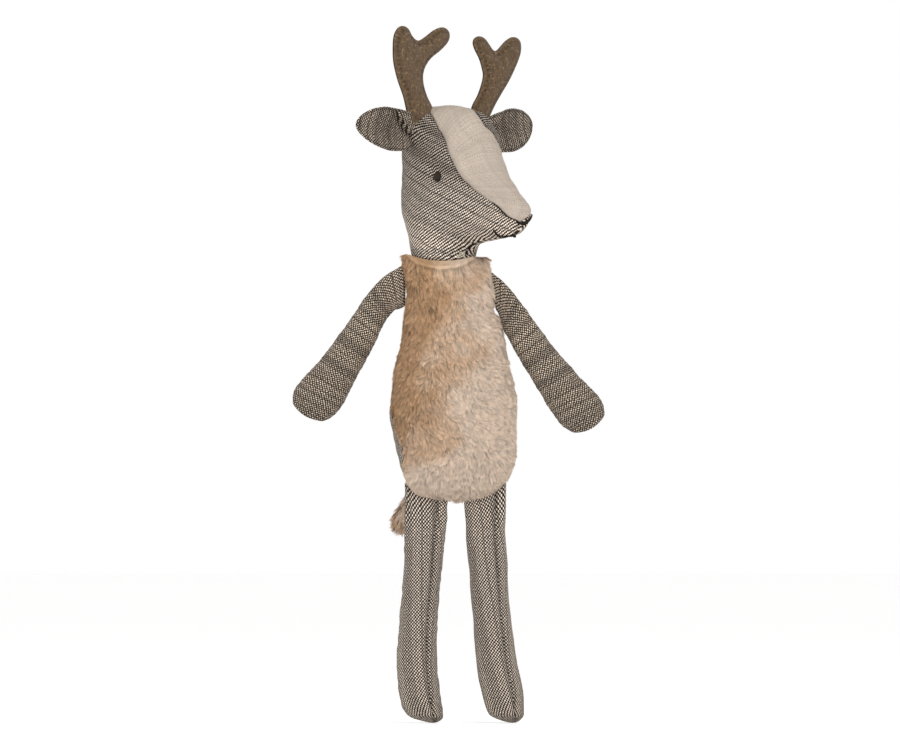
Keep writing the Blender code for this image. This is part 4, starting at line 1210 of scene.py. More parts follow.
@dataclass(frozen=True)
class Tail:
    """A tuft of plush on the back, below the waist."""

    root: Spot = (-0.0050, 0.0154, 0.1150)
    step: Spot = (-0.0190, 0.0110, -0.0260)
    half_width: float = 0.0062
    places: tuple[float, ...] = (0.0, 0.06, 0.30, 0.60, 0.86, 1.0)
    widths: tuple[float, ...] = (0.30, 0.50, 0.86, 1.00, 0.80, 0.0)
    skin_share: float = 0.62

    def build(self, wardrobe: Wardrobe) -> None:
        """Make the tail's skin and its pile."""
        step = Vector(self.step)
        across = Vector((0.0, 1.0, 0.0)).cross(step).normalized()
        out = step.cross(across).normalized()
        fine = eased(48, 0.5)
        centres = fine[:, None] * np.array(self.step)[None]
        half = smooth_root(self.places, self.widths, fine) * self.half_width * self.skin_share
        count = len(fine)
        sections = Sections(centres, np.tile(tuple(across), (count, 1)), np.tile(tuple(out), (count, 1)), half, half)
        form = StuffedForm(sections, Sewing(swell=0.0003), FRAME_PLACE + np.array(self.root), 31, 20)
        tone = TailTone()
        grids = [form.panel(half_side, plain=True)[0] for half_side in Half]
        points = np.concatenate([grid.points.reshape(-1, 3) for grid in grids])
        faces = np.concatenate([grids[0].faces(), grids[1].faces() + grids[0].points[..., 0].size])
        piece = mesh_object("tail_knit", points, faces.tolist(), None, tone.skin(points))
        Place("tail", "fur_cloth", ("tail_fur",), 0.4).settle(wardrobe.dress(piece, PILE))
        middle = FRAME_PLACE + np.array(self.root) + np.array(self.step) * 0.5
        for half_side, grid in zip(Half, grids):
            pile = Pile(count=4200, length=0.0062, lift=0.0022, width=0.00020, seed=41 + half_side.value, swirl=0.3)
            for hair in pile.grow(f"tail_pile_{half_side.name.lower()}", grid, grid.points - middle, tone):
                Place("tail", "fur_cloth").settle(wardrobe.dress(hair, PILE))


# Arms and legs


@dataclass(frozen=True)
class Arm:
    """A slanting arm of two tweed panels, sewn along its sides."""

    side: Side
    length: float
    rise: float
    shoulder: Spot
    lean_deg: float
    slant_deg: float = 34.0
    half_width: float = 0.0106
    half_depth: float = 0.0076
    places: tuple[float, ...] = (0.0, 0.004, 0.10, 0.24, 0.46, 0.68, 0.86, 0.965, 1.0)
    turns: tuple[float, ...] = (1.0, 1.0, 0.62, 0.16, 0.0, -0.06, -0.10, -0.06, -0.06)
    rises: tuple[float, ...] = (0.0, 0.0, 0.6, 1.0, 1.0, 1.0, 1.0, 1.0, 1.0)
    widths: tuple[float, ...] = (0.90, 0.92, 0.76, 0.70, 0.77, 0.90, 1.04, 0.80, 0.0)
    depths: tuple[float, ...] = (0.0, 0.16, 0.32, 0.66, 0.94, 1.00, 1.00, 0.68, 0.0)
    bow: tuple[float, ...] = (0.0,) * 9
    root_reach: float = 0.0018
    rows: int = 180

    def sections(self) -> Sections:
        """Return the arm's cross-sections from the shoulder seam down."""
        fine = eased(self.rows, 0.7)
        slant = math.radians(self.slant_deg)
        root = math.radians(90.0 + self.lean_deg)
        down = np.array((math.sin(slant) * self.side.value, 0.0, -math.cos(slant)))
        up = np.array((math.cos(slant) * self.side.value, 0.0, math.sin(slant))) * self.rise
        turn = slant + (root - slant) * smooth_curve(self.places, self.turns, fine)
        centres = fine[:, None] * self.length * down + smooth_curve(self.places, self.rises, fine)[:, None] * up
        seam = np.stack([-np.cos(turn) * self.side.value, np.zeros_like(turn), -np.sin(turn)], axis=1)
        centres = centres + seam * smooth_curve(self.places, self.bow, fine)[:, None]
        centres[:, 0] -= self.side.value * self.root_reach * (1.0 - smooth_step(0.0, 0.10, fine))
        return Sections(
            centres, seam, np.tile((0.0, 1.0, 0.0), (len(fine), 1)),
            smooth_root(self.places, self.widths, fine) * self.half_width,
            smooth_root(self.places, self.depths, fine) * self.half_depth,
        )

    def build(self, wardrobe: Wardrobe) -> None:
        """Make the arm's front and back panels."""
        name = f"arm_{self.side.word}"
        form = StuffedForm(self.sections(), Sewing(), FRAME_PLACE + np.array(self.shoulder), 50 + self.side.value)
        for half, panel in ((Half.LOW, "front"), (Half.HIGH, "back")):
            grid, _ = form.panel(half)
            nodes = [f"{name}_{panel}"] + ([f"{name}_stuffing"] if half is Half.LOW else [])
            piece = wardrobe.dress(grids_object(f"{name}_{panel}_cloth", [grid]), ARM_TWEED)
            Place(name, "tweed", tuple(nodes), 0.8).settle(piece)


@dataclass(frozen=True)
class Leg:
    """A long leg of an inner and an outer tweed panel, with a seam down its front."""

    side: Side
    hip: Spot
    bends: tuple[float, ...]
    toe: float
    length: float = 0.1013
    half_width: float = 0.0088
    half_depth: float = 0.0092
    places: tuple[float, ...] = (0.0, 0.004, 0.07, 0.17, 0.34, 0.54, 0.72, 0.86, 0.962, 1.0)
    widths: tuple[float, ...] = (1.12, 1.12, 1.08, 1.02, 0.98, 0.98, 1.03, 1.07, 0.92, 0.0)
    depths: tuple[float, ...] = (0.0, 0.08, 0.24, 0.62, 0.96, 0.96, 0.98, 1.04, 0.86, 0.0)
    feet: tuple[float, ...] = (0.0, 0.0, 0.0, 0.0, 0.0, 0.0, 0.04, 0.20, 0.42, 0.60)
    seam_turn_deg: float = 30.0
    hip_rise: float = 0.0066
    hip_reach: float = 0.014
    rows: int = 220

    def sections(self) -> Sections:
        """Return the leg's cross-sections from the hip seam down."""
        fine = eased(self.rows, 0.7)
        bends = (self.bends[0], *self.bends, self.toe)
        centres = np.stack(
            [smooth_curve(self.places, bends, fine) * self.half_width,
             -smooth_curve(self.places, self.feet, fine) * self.half_depth, -fine * self.length], axis=1,
        )
        count = len(fine)
        return Sections(
            centres, np.tile((0.0, -1.0, 0.0), (count, 1)), np.tile((1.0, 0.0, 0.0), (count, 1)),
            smooth_root(self.places, self.depths, fine) * self.half_depth,
            smooth_root(self.places, self.widths, fine) * self.half_width,
        )

    def build(self, wardrobe: Wardrobe) -> None:
        """Make the leg's outer and inner panels."""
        name = f"leg_{self.side.word}"
        # a stronger painted shade along the leg's front seam
        sewing = Sewing(groove=0.0008, groove_width=0.0011, shade=0.55)
        turn = math.radians(self.seam_turn_deg)
        form = StuffedForm(
            self.sections(), sewing, FRAME_PLACE + np.array(self.hip), 60 + self.side.value, turn=turn
        )
        for half in Half:
            panel = "outer" if half.value == self.side.value else "inner"
            grid, _ = form.panel(half)
            nodes = [f"{name}_{panel}"] + ([f"{name}_stuffing"] if panel == "outer" else [])
            piece = wardrobe.dress(grids_object(f"{name}_{panel}_cloth", [self.raised(grid)]), TWEED)
            Place(name, "tweed", tuple(nodes), 0.8).settle(piece)

    def raised(self, grid: Grid) -> Grid:
        """Return a panel whose outer corner rises along the torso's rounded bottom."""
        local = grid.points - (FRAME_PLACE + np.array(self.hip))
        outer = np.clip(local[..., 0] * self.side.value / self.half_width, -1.0, 1.0)
        share = ((outer + 1.0) / 2.0) ** 1.6 * smooth_step(-self.hip_reach, 0.0, local[..., 2])
        points = grid.points.copy()
        points[..., 2] += self.hip_rise * share
        return Grid(points, grid.cloth, grid.tints)


# The head


@dataclass(frozen=True)
class Cone:
    """A round-ended cone between two balls."""

    start: Spot
    end: Spot
    start_radius: float
    end_radius: float

    def distance(self, points: Array) -> Array:
        """Return distances from the cone's surface."""
        first = np.array(self.start)
        axis = np.array(self.end) - first
        share = np.clip((points - first) @ axis / (axis @ axis), 0.0, 1.0)
        radius = self.start_radius + share * (self.end_radius - self.start_radius)
        return np.linalg.norm(points - first - share[:, None] * axis, axis=1) - radius


def smooth_least(a: Array, b: Array, width: float) -> Array:
    """Return the lower of two distances, rounded where they meet."""
    share = np.clip(0.5 + 0.5 * (b - a) / width, 0.0, 1.0)
    return b + (a - b) * share - width * share * (1.0 - share)


@dataclass(frozen=True)
class Skull:
    """The head's shape: skull, brows, muzzle, jaw and neck, in its own forward, left and up frame."""

    cranium: Spot = (0.0057, 0.0, 0.0382)
    cranium_half: Spot = (0.0245, 0.0193, 0.0281)
    round_power: float = 2.2
    high_power: float = 3.0
    brow: Spot = (0.0020, 0.0155, 0.0575)
    brow_radius: float = 0.0075
    muzzle: Cone = Cone((0.0187, 0.0, 0.0335), (0.0476, 0.0, 0.0183), 0.0154, 0.0075)
    jaw: Cone = Cone((0.0088, 0.0, 0.0185), (0.0421, 0.0, 0.0154), 0.0155, 0.0080)
    blend: float = 0.0060
    neck_lift: float = 0.0100
    neck_ball: float = 0.0180
    neck_half_width: float = 0.0148
    neck_growth: float = 0.10
    middle_height: float = 0.0300

    def distance(self, points: Array) -> Array:
        """Return distances from the head's surface."""
        scaled = np.abs(points - np.array(self.cranium)) / np.array(self.cranium_half)
        flat = (scaled[:, 0] ** self.round_power + scaled[:, 1] ** self.round_power) ** (1.0 / self.round_power)
        whole = (flat**self.high_power + scaled[:, 2] ** self.high_power) ** (1.0 / self.high_power)
        skull = (whole - 1.0) * min(self.cranium_half)
        folded = points * np.array((1.0, 0.0, 1.0)) + np.abs(points) * np.array((0.0, 1.0, 0.0))
        brows = np.linalg.norm(folded - np.array(self.brow), axis=1) - self.brow_radius
        width = self.neck_half_width + np.clip(points[:, 2], 0.0, None) * self.neck_growth
        column = np.linalg.norm(points[:, :2], axis=1) - width
        ball = np.linalg.norm(points - np.array((0.0, 0.0, self.neck_lift)), axis=1) - self.neck_ball
        column = np.where(points[:, 2] < self.neck_lift, np.maximum(column, ball), column)
        column = -smooth_least(-column, self.middle_height - points[:, 2], 0.016)
        face = smooth_least(self.muzzle.distance(points), self.jaw.distance(points), self.blend)
        face = smooth_least(face, smooth_least(skull, brows, self.blend), self.blend)
        return smooth_least(face, column, self.blend)


@dataclass(frozen=True)
class RayForm:
    """A form seen from a centre inside it: a profile in one plane, swollen across that plane."""

    distance: Field
    centre: Spot
    along: Spot
    up: Spot
    across: Spot
    reach: float = 0.1

    def points(self, profile: Array, swell: Array, inset: float = 0.0) -> Array:
        """Return the surface points in the directions of two arrays of angles.

        Args:
            profile: Angles round the profile.
            swell: Angles out of its plane.
            inset: How far inside the surface the points lie.

        Returns:
            The points, in the form's own frame.
        """
        profile, swell = np.broadcast_arrays(profile, swell)
        flat = np.cos(profile)[..., None] * np.array(self.up) + np.sin(profile)[..., None] * np.array(self.along)
        ways = np.cos(swell)[..., None] * flat + np.sin(swell)[..., None] * np.array(self.across)
        shape = ways.shape
        ways = ways.reshape(-1, 3)
        low = np.zeros(len(ways))
        high = np.full(len(ways), self.reach)
        for _ in range(26):
            middle = (low + high) / 2.0
            inside = self.distance(np.array(self.centre) + ways * middle[:, None]) < -inset
            low = np.where(inside, middle, low)
            high = np.where(inside, high, middle)
        return (np.array(self.centre) + ways * high[:, None]).reshape(shape)

    def even_profile(self, count: int) -> Array:
        """Return profile angles at even steps of length round the outline."""
        fine = np.linspace(-math.pi, math.pi, 1441)
        outline = self.points(fine, np.zeros_like(fine))
        length = run_lengths(outline)
        return np.interp(np.arange(count) / count * length[-1], length, fine)

    def side_grid(self, profiles: Array, edges: Array, rows: int, side: int,
                  ease: float = 1.0) -> tuple[Array, Array]:
        """Return the points of one side from a seam to the middle, and the swell angles.

        Args:
            profiles: Angles round the outline.
            edges: Distance of the seam out of the middle plane at each angle, below zero past it.
            rows: How many rows of points.
            side: Which side of the plane, as a sign.
            ease: Above one, the rows crowd towards the seam.

        Returns:
            The points, rows by columns by three, and the swell angle of each.
        """
        fine = np.linspace(-0.5, math.pi / 2.0, 161)
        lines = self.points(profiles[:, None], fine[None, :])
        out = (lines - np.array(self.centre)) @ np.array(self.across)
        lengths = run_lengths(lines, 1)
        shares = np.linspace(0.0, 1.0, rows) ** ease
        swells = []
        for index in range(len(profiles)):
            start = np.interp(edges[index], out[index], lengths[index])
            wanted = start + shares * (lengths[index, -1] - start)
            swells.append(np.interp(wanted, lengths[index], fine))
        swell = np.array(swells).T * side
        return self.points(profiles[None, :], swell), swell

    def swell_at(self, profile: float, distance: float) -> float:
        """Return the swell angle at which the surface lies a distance out of the plane."""
        fine = np.linspace(0.0, math.pi / 2.0, 361)
        line = self.points(np.full_like(fine, profile), fine) - np.array(self.centre)
        return float(np.interp(abs(distance), line @ np.array(self.across), fine)) * math.copysign(1.0, distance)


@dataclass(frozen=True)
class HeadFrame:
    """Where the head's own frame stands."""

    turn_deg: float = 42.0
    neck_side: float = -0.0045
    collar_height: float = 0.2106

    def world(self, points: Array) -> Array:
        """Return points of the head's frame in the toy's frame.

        Args:
            points: Forward, left and up places, on the last axis.

        Returns:
            The same places in the toy's frame.
        """
        turn = math.radians(self.turn_deg)
        forward = np.array((math.sin(turn), -math.cos(turn), 0.0))
        left = np.array((math.cos(turn), math.sin(turn), 0.0))
        start = FRAME_PLACE + np.array((self.neck_side, 0.0, self.collar_height))
        flat = points[..., 0:1] * forward + points[..., 1:2] * left
        return start + flat + points[..., 2:3] * np.array((0.0, 0.0, 1.0))


@dataclass(frozen=True)
class Blaze:
    """The outline of the linen face panel, wider on the head's right side than on its left."""

    nape_deg: float = -118.0
    tip_deg: float = 112.0
    right_degs: tuple[float, ...] = (
        -180, -118, -90, -60, -28, 4, 48, 72, 88, 97.5, 105, 109.5, 110.5, 112, 126, 180,
    )
    right_reach: tuple[float, ...] = (
        0, 0, 7.5, 12, 13.2, 16.0, 14.8, 13.6, 11.9, 10.6, 8.5, 7.1, 4.4, 2.2, 0, 0,
    )
    left_degs: tuple[float, ...] = (
        -180, -118, -80, -40, -10, 5, 15, 23, 27, 33, 40, 48, 72, 88, 97.5, 103, 106, 110, 112, 126, 180,
    )
    left_reach: tuple[float, ...] = (
        0, 0, 8, 12, 9, 4, 0.5, 1.7, 3.9, 6.7, 12.3, 12.6, 11.5, 11.5, 10.6, 8.6, 5.7, 0, -2.2, 0, 0,
    )

    def edge(self, side: Side, profiles: Array) -> Array:
        """Return how far out of the middle plane a seam lies at angles round the profile."""
        degs, reach = (self.right_degs, self.right_reach) if side is Side.RIGHT else (self.left_degs, self.left_reach)
        return smooth_curve(degs, reach, np.degrees(profiles)) / MM


@dataclass(frozen=True)
class Head:
    """The head: two tweed sides, the linen blaze and the embroidery."""

    stand: HeadFrame = HeadFrame()
    skull: Skull = Skull()
    blaze: Blaze = Blaze()
    centre: Spot = (0.0140, 0.0, 0.0300)
    columns: int = 420
    rows: int = 64
    panel_rows: int = 49
    seed: int = 70
    swell: float = 0.00035
    swell_size: float = 0.018
    creases: float = 0.00010
    crease_size: float = 0.006
    spoke: float = 0.00022
    fullness: float = 0.00045
    crown_pull: float = 0.6
    # strength of the painted shade along the blaze's seam
    seam_painted_shade: float = 0.75
    gathers: float = 26.0
    tone_heights: tuple[float, ...] = (0.008, 0.022, 0.036, 0.050)
    tones: tuple[float, ...] = (1.24, 0.96, 0.70, 0.60)
    eye_place: tuple[float, float] = (0.0158, 0.0352)
    dimple: float = 0.0013
    dimple_width: float = 0.0036
    seam_groove: float = 0.0006
    seam_width: float = 0.0008
    stitch_pitch: float = 0.0015

    def form(self) -> RayForm:
        """Return the head as seen from its middle."""
        return RayForm(self.skull.distance, self.centre, (1.0, 0.0, 0.0), (0.0, 0.0, 1.0), (0.0, 1.0, 0.0))

    def profiles(self) -> Array:
        """Return angles round the outline, closer together at the blaze's tip."""
        tip = np.radians(np.linspace(100.0, self.blaze.tip_deg, 41))
        nape = np.radians([self.blaze.nape_deg])
        return np.unique(np.concatenate([self.form().even_profile(self.columns), tip, nape]))

    def relief(self, points: Array, seam_distance: Array) -> Array:
        """Return how far points of the head stand out: seams, stuffing and the pulled-in eyes.

        Args:
            points: Points of the head's surface, in its own frame.
            seam_distance: How far each lies from the nearest seam.

        Returns:
            The outward shift of each point.
        """
        relief = -self.seam_groove * bell(seam_distance, self.seam_width)
        relief = relief + Ripples(self.swell, self.swell_size, self.seed).at(points)
        relief = relief + Ripples(self.creases, self.crease_size, self.seed + 1).at(points)
        flat = np.stack([points[..., 0] - self.eye_place[0], points[..., 2] - self.eye_place[1]], axis=-1)
        distance = np.linalg.norm(flat, axis=-1)
        angle = np.arctan2(flat[..., 1], flat[..., 0])
        spokes = self.spoke * np.cos(7.0 * angle) * bell(distance - 0.0042, 0.0022)
        outer = smooth_step(0.010, 0.016, np.abs(points[..., 1]))
        return relief + outer * (spokes - self.dimple * bell(distance, self.dimple_width))

    def pushed(self, points: Array, relief: Array) -> Array:
        """Return points shifted outward from the head's middle by a relief."""
        return points + unit(points - np.array(self.centre)) * relief[..., None]

    def cloth(self, points: Array) -> Array:
        """Return the flat cloth place of each point of a side, in millimetres."""
        inward = (self.skull.cranium_half[1] - np.abs(points[..., 1])) * self.crown_pull
        bend = np.tanh(points[..., 0] / 0.008) * inward
        rise = smooth_step(0.050, 0.060, points[..., 2]) * inward
        return np.stack([points[..., 0] + bend, points[..., 2] + rise], axis=-1) * MM

    def shade(self, points: Array, seam: Array) -> Array:
        """Return the tweed's shade: painted shade in dashes along the blaze's seam, a paler jaw, and painted shade in
        the gathers over the collar.

        Args:
            points: Points of a side, in the head's frame.
            seam: How far each lies from the blaze's seam.

        Returns:
            A grey for each point.
        """
        steps = np.linalg.norm(np.diff(points[0], axis=0, append=points[0][:1]), axis=1)
        dashes = 0.5 + 0.5 * np.cos(TAU * np.cumsum(steps) / self.stitch_pitch)[None, :]
        # painted shade in the seam's groove, dashed at each stitch
        dark = self.seam_painted_shade * bell(seam - 0.0002, 0.0006) * (0.35 + 0.65 * dashes)
        height = points[..., 2]
        around = np.arctan2(points[..., 1], points[..., 0])
        gathers = 0.5 + 0.5 * np.cos(self.gathers * around)
        # painted shade where the head meets the collar, deeper in each gather
        dark = dark + bell(height - 0.0012, 0.0016) * (0.18 + 0.30 * gathers)
        pale = np.interp(height, self.tone_heights, self.tones)
        return greys(pale * (1.0 - np.clip(dark, 0.0, 0.85)))

    def sides(self, wardrobe: Wardrobe) -> None:
        """Make the two tweed sides."""
        form, profiles = self.form(), self.profiles()
        for side in Side:
            edges = self.blaze.edge(side, profiles)
            points, _ = form.side_grid(profiles, edges, self.rows, side.value, 1.25)
            seam = np.linalg.norm(points - points[:1], axis=-1)
            moved = self.pushed(points, self.relief(points, seam))
            grid = Grid(self.stand.world(moved), self.cloth(points), self.shade(points, seam), True)
            ways = self.stand.world(points) - self.stand.world(np.array(self.centre))
            piece = grids_object(f"head_side_{side.word}_cloth", [grid.facing(ways)])
            nodes = [f"head_side_{side.word}"] + (["head_stuffing"] if side is Side.RIGHT else [])
            Place("head", "tweed", tuple(nodes), 0.9).settle(wardrobe.dress(piece, HEAD_TWEED))

    def face_panel(self, wardrobe: Wardrobe) -> None:
        """Make the linen blaze from the nape over the crown to the nose."""
        form, profiles = self.form(), self.profiles()
        low, high = math.radians(self.blaze.nape_deg), math.radians(self.blaze.tip_deg)
        profiles = profiles[(profiles > low - 1e-9) & (profiles < high + 1e-9)]
        near, far = -self.blaze.edge(Side.RIGHT, profiles), self.blaze.edge(Side.LEFT, profiles)
        first = np.array([form.swell_at(*place) for place in zip(profiles, near)])
        last = np.array([form.swell_at(*place) for place in zip(profiles, far)])
        across = np.linspace(0.0, 1.0, self.panel_rows)
        points = form.points(profiles[:, None], first[:, None] + (last - first)[:, None] * across[None, :])
        edge = (far - near)[:, None] * np.minimum(across, 1.0 - across)[None, :]
        fullness = self.fullness * smooth_step(0.0, 0.0022, edge)
        moved = self.pushed(points, self.relief(points, edge) + fullness)
        along = run_lengths(points[:, self.panel_rows // 2])
        # painted shade along the blaze's seams
        tints = greys(1.0 - 0.30 * bell(edge, 0.0006))
        grid = Grid(self.stand.world(moved), cloth_places(points, along), tints)
        ways = self.stand.world(points) - self.stand.world(np.array(self.centre))
        piece = grids_object("face_blaze_cloth", [grid.facing(ways)])
        Place("head", "linen", ("face_blaze",), 0.9).settle(wardrobe.dress(piece, LINEN))

    def build(self, wardrobe: Wardrobe) -> None:
        """Make the head."""
        self.sides(wardrobe)
        self.face_panel(wardrobe)


# Embroidery


@dataclass(frozen=True)
class Thread:
    """A stitched thread of round section."""

    radius: float
    sides: int = 8

    def tube(self, line: Array, ends: float = 0.25) -> Grid:
        """Return the tube round a line, closed by narrowing at its ends.

        Args:
            line: Points along the thread.
            ends: How thin the thread gets at its ends.

        Returns:
            The tube's grid, which wraps round.
        """
        ways = unit(np.gradient(line, axis=0))
        first = unit(np.cross(ways, np.array((0.31, 0.22, 0.93))))
        second = np.cross(ways, first)
        angle = np.linspace(0.0, TAU, self.sides, endpoint=False)
        share = np.linspace(-1.0, 1.0, len(line))
        radius = self.radius * (ends + (1.0 - ends) * np.sqrt(np.clip(1.0 - np.abs(share) ** 6, 0.0, 1.0)))
        ring = first[:, None] * np.cos(angle)[None, :, None] + second[:, None] * np.sin(angle)[None, :, None]
        points = line[:, None] + ring * radius[:, None, None]
        length = run_lengths(line)
        round_place = np.broadcast_to((angle / TAU / MM)[None], points.shape[:2])
        cloth = np.stack([round_place, np.broadcast_to(length[:, None], points.shape[:2])], axis=-1) * MM
        return Grid(points, cloth, wrap=True)


@dataclass(frozen=True)
class Embroidery:
    """The stitched eyes, nose and mouth."""

    head: Head
    eye_half_width: float = 0.0019
    eye_half_height: float = 0.0020
    eye_tilt_deg: float = 20.0
    eye_stitches: int = 7
    nose_places: tuple[float, ...] = (-0.0034, -0.0012, 0.0010, 0.0038, 0.0062)
    nose_tops: tuple[float, ...] = (111.6, 111.0, 110.2, 108.6, 107.2)
    nose_depths: tuple[float, ...] = (0.0, 2.0, 2.8, 2.4, 1.4)
    nose_stitches: int = 24
    mouth_places: tuple[float, ...] = (0.0, 0.0012, 0.0024, 0.0035, 0.0044, 0.0055, 0.0072)
    mouth_degs: tuple[float, ...] = (122.5, 123.5, 124.8, 126.5, 127.3, 126.6, 124.3)

    def on_head(self, profiles: Array, swells: Array, lift: Array | float) -> Array:
        """Return points a little above the head's surface, in the toy's frame."""
        points = self.head.form().points(profiles, swells)
        far = np.full(points.shape[:-1], 1.0)
        return self.head.stand.world(self.head.pushed(points, self.head.relief(points, far) + lift))

    def at_places(self, degrees: Array, sides: Array, lift: Array | float) -> Array:
        """Return points above the head at profile angles and distances out of the middle plane."""
        form, profiles = self.head.form(), np.radians(degrees)
        swells = np.array([form.swell_at(*place) for place in zip(profiles, sides)])
        return self.on_head(profiles, swells, lift)

    def from_side(self, places: Array, side: Side, lift: float) -> Array:
        """Return points of the head's side seen at forward and up places.

        Args:
            places: Forward and up places, one a row.
            side: Which side of the head.
            lift: How far above the surface the points lie.

        Returns:
            The points, in the toy's frame.
        """
        form = self.head.form()
        centre = np.array(self.head.centre)
        flat = np.stack([places[:, 0] - centre[0], places[:, 1] - centre[2]], axis=-1)
        profiles = np.arctan2(flat[:, 0], flat[:, 1])
        wanted = np.linalg.norm(flat, axis=-1)
        low = np.zeros(len(places))
        high = np.full(len(places), math.pi / 2.0)
        for _ in range(24):
            middle = (low + high) / 2.0
            points = form.points(profiles, middle)
            reach = np.hypot(points[:, 0] - centre[0], points[:, 2] - centre[2])
            low = np.where(reach > wanted, middle, low)
            high = np.where(reach > wanted, high, middle)
        return self.on_head(profiles, high * side.value, lift)

    def eye(self, side: Side, wardrobe: Wardrobe) -> None:
        """Make one eye: upright satin stitches with a line of stitches round them."""
        centre = np.array(self.head.eye_place)
        tilt = math.radians(self.eye_tilt_deg)
        turned = np.array(((math.cos(tilt), math.sin(tilt)), (-math.sin(tilt), math.cos(tilt))))
        grids = []
        thread = Thread(0.00026)
        for place in np.linspace(-0.8, 0.8, self.eye_stitches):
            height = self.eye_half_height * math.sqrt(1.0 - place**2)
            t = np.linspace(-1.0, 1.0, 13)
            spots = np.stack([np.full_like(t, place * self.eye_half_width), t * height], axis=-1) @ turned + centre
            raised = self.from_side(spots, side, 0.0)
            higher = self.from_side(spots, side, 0.0008)
            arch = (0.15 + 0.85 * np.sqrt(np.clip(1.0 - t**2 * 0.96, 0.0, 1.0)))[:, None]
            grids.append(thread.tube(raised + (higher - raised) * arch))
        piece = grids_object(f"eye_{side.word}_stitches", grids)
        Place("head", "thread", (f"eye_{side.word}",)).settle(wardrobe.dress(piece, EYE_THREAD))
        angle = np.linspace(0.0, TAU, 49)
        wobble = 1.06 + 0.05 * np.sin(3.0 * angle + side.value)
        spots = np.stack([np.cos(angle) * self.eye_half_width, np.sin(angle) * self.eye_half_height], axis=-1)
        line = self.from_side((spots * wobble[:, None]) @ turned + centre, side, 0.0002)
        piece = grids_object(f"eye_{side.word}_rim", [Thread(0.00034).tube(line, 1.0)])
        Place("head", "thread").settle(wardrobe.dress(piece, THREAD))

    def nose(self, wardrobe: Wardrobe) -> None:
        """Make the nose: short satin stitches under the blaze's end, and a line up its near edge."""
        grids = []
        thread = Thread(0.00028)
        t = np.linspace(0.0, 1.0, 9)
        for place in np.linspace(self.nose_places[0], self.nose_places[-1], self.nose_stitches):
            top = float(smooth_curve(self.nose_places, self.nose_tops, np.array([place]))[0])
            depth = float(smooth_curve(self.nose_places, self.nose_depths, np.array([place]))[0])
            arch = 0.0003 + 0.0005 * np.sin(math.pi * np.clip(t, 0.04, 0.96))
            grids.append(thread.tube(self.at_places(top + depth * t, np.full_like(t, place), arch)))
        degrees = np.linspace(103.0, 111.6, 40)
        reach = -self.head.blaze.edge(Side.RIGHT, np.radians(degrees))
        grids.append(Thread(0.00024).tube(self.at_places(degrees, reach, 0.0002), 0.4))
        piece = grids_object("nose_satin_stitches", grids)
        Place("head", "thread", ("nose_stitch",)).settle(wardrobe.dress(piece, THREAD))

    def mouth(self, wardrobe: Wardrobe) -> None:
        """Make the mouth: a row of back stitches from one corner to the other."""
        across = np.linspace(-1.0, 1.0, 9) * self.mouth_places[-1]
        grids = []
        thread = Thread(0.00054)
        for start, end in zip(across[:-1], across[1:]):
            sides = np.linspace(start, end, 11)
            degrees = smooth_curve(self.mouth_places, self.mouth_degs, np.abs(sides))
            lift = 0.00045 * np.sin(math.pi * (sides - start) / (end - start)) - 0.00005
            grids.append(thread.tube(self.at_places(degrees, sides, lift), 0.5))
        piece = grids_object("mouth_back_stitches", grids)
        Place("head", "thread", ("mouth_stitch",)).settle(wardrobe.dress(piece, THREAD))

    def build(self, wardrobe: Wardrobe) -> None:
        """Make all the embroidery."""
        for side in Side:
            self.eye(side, wardrobe)
        self.nose(wardrobe)
        self.mouth(wardrobe)


# Ears and antlers


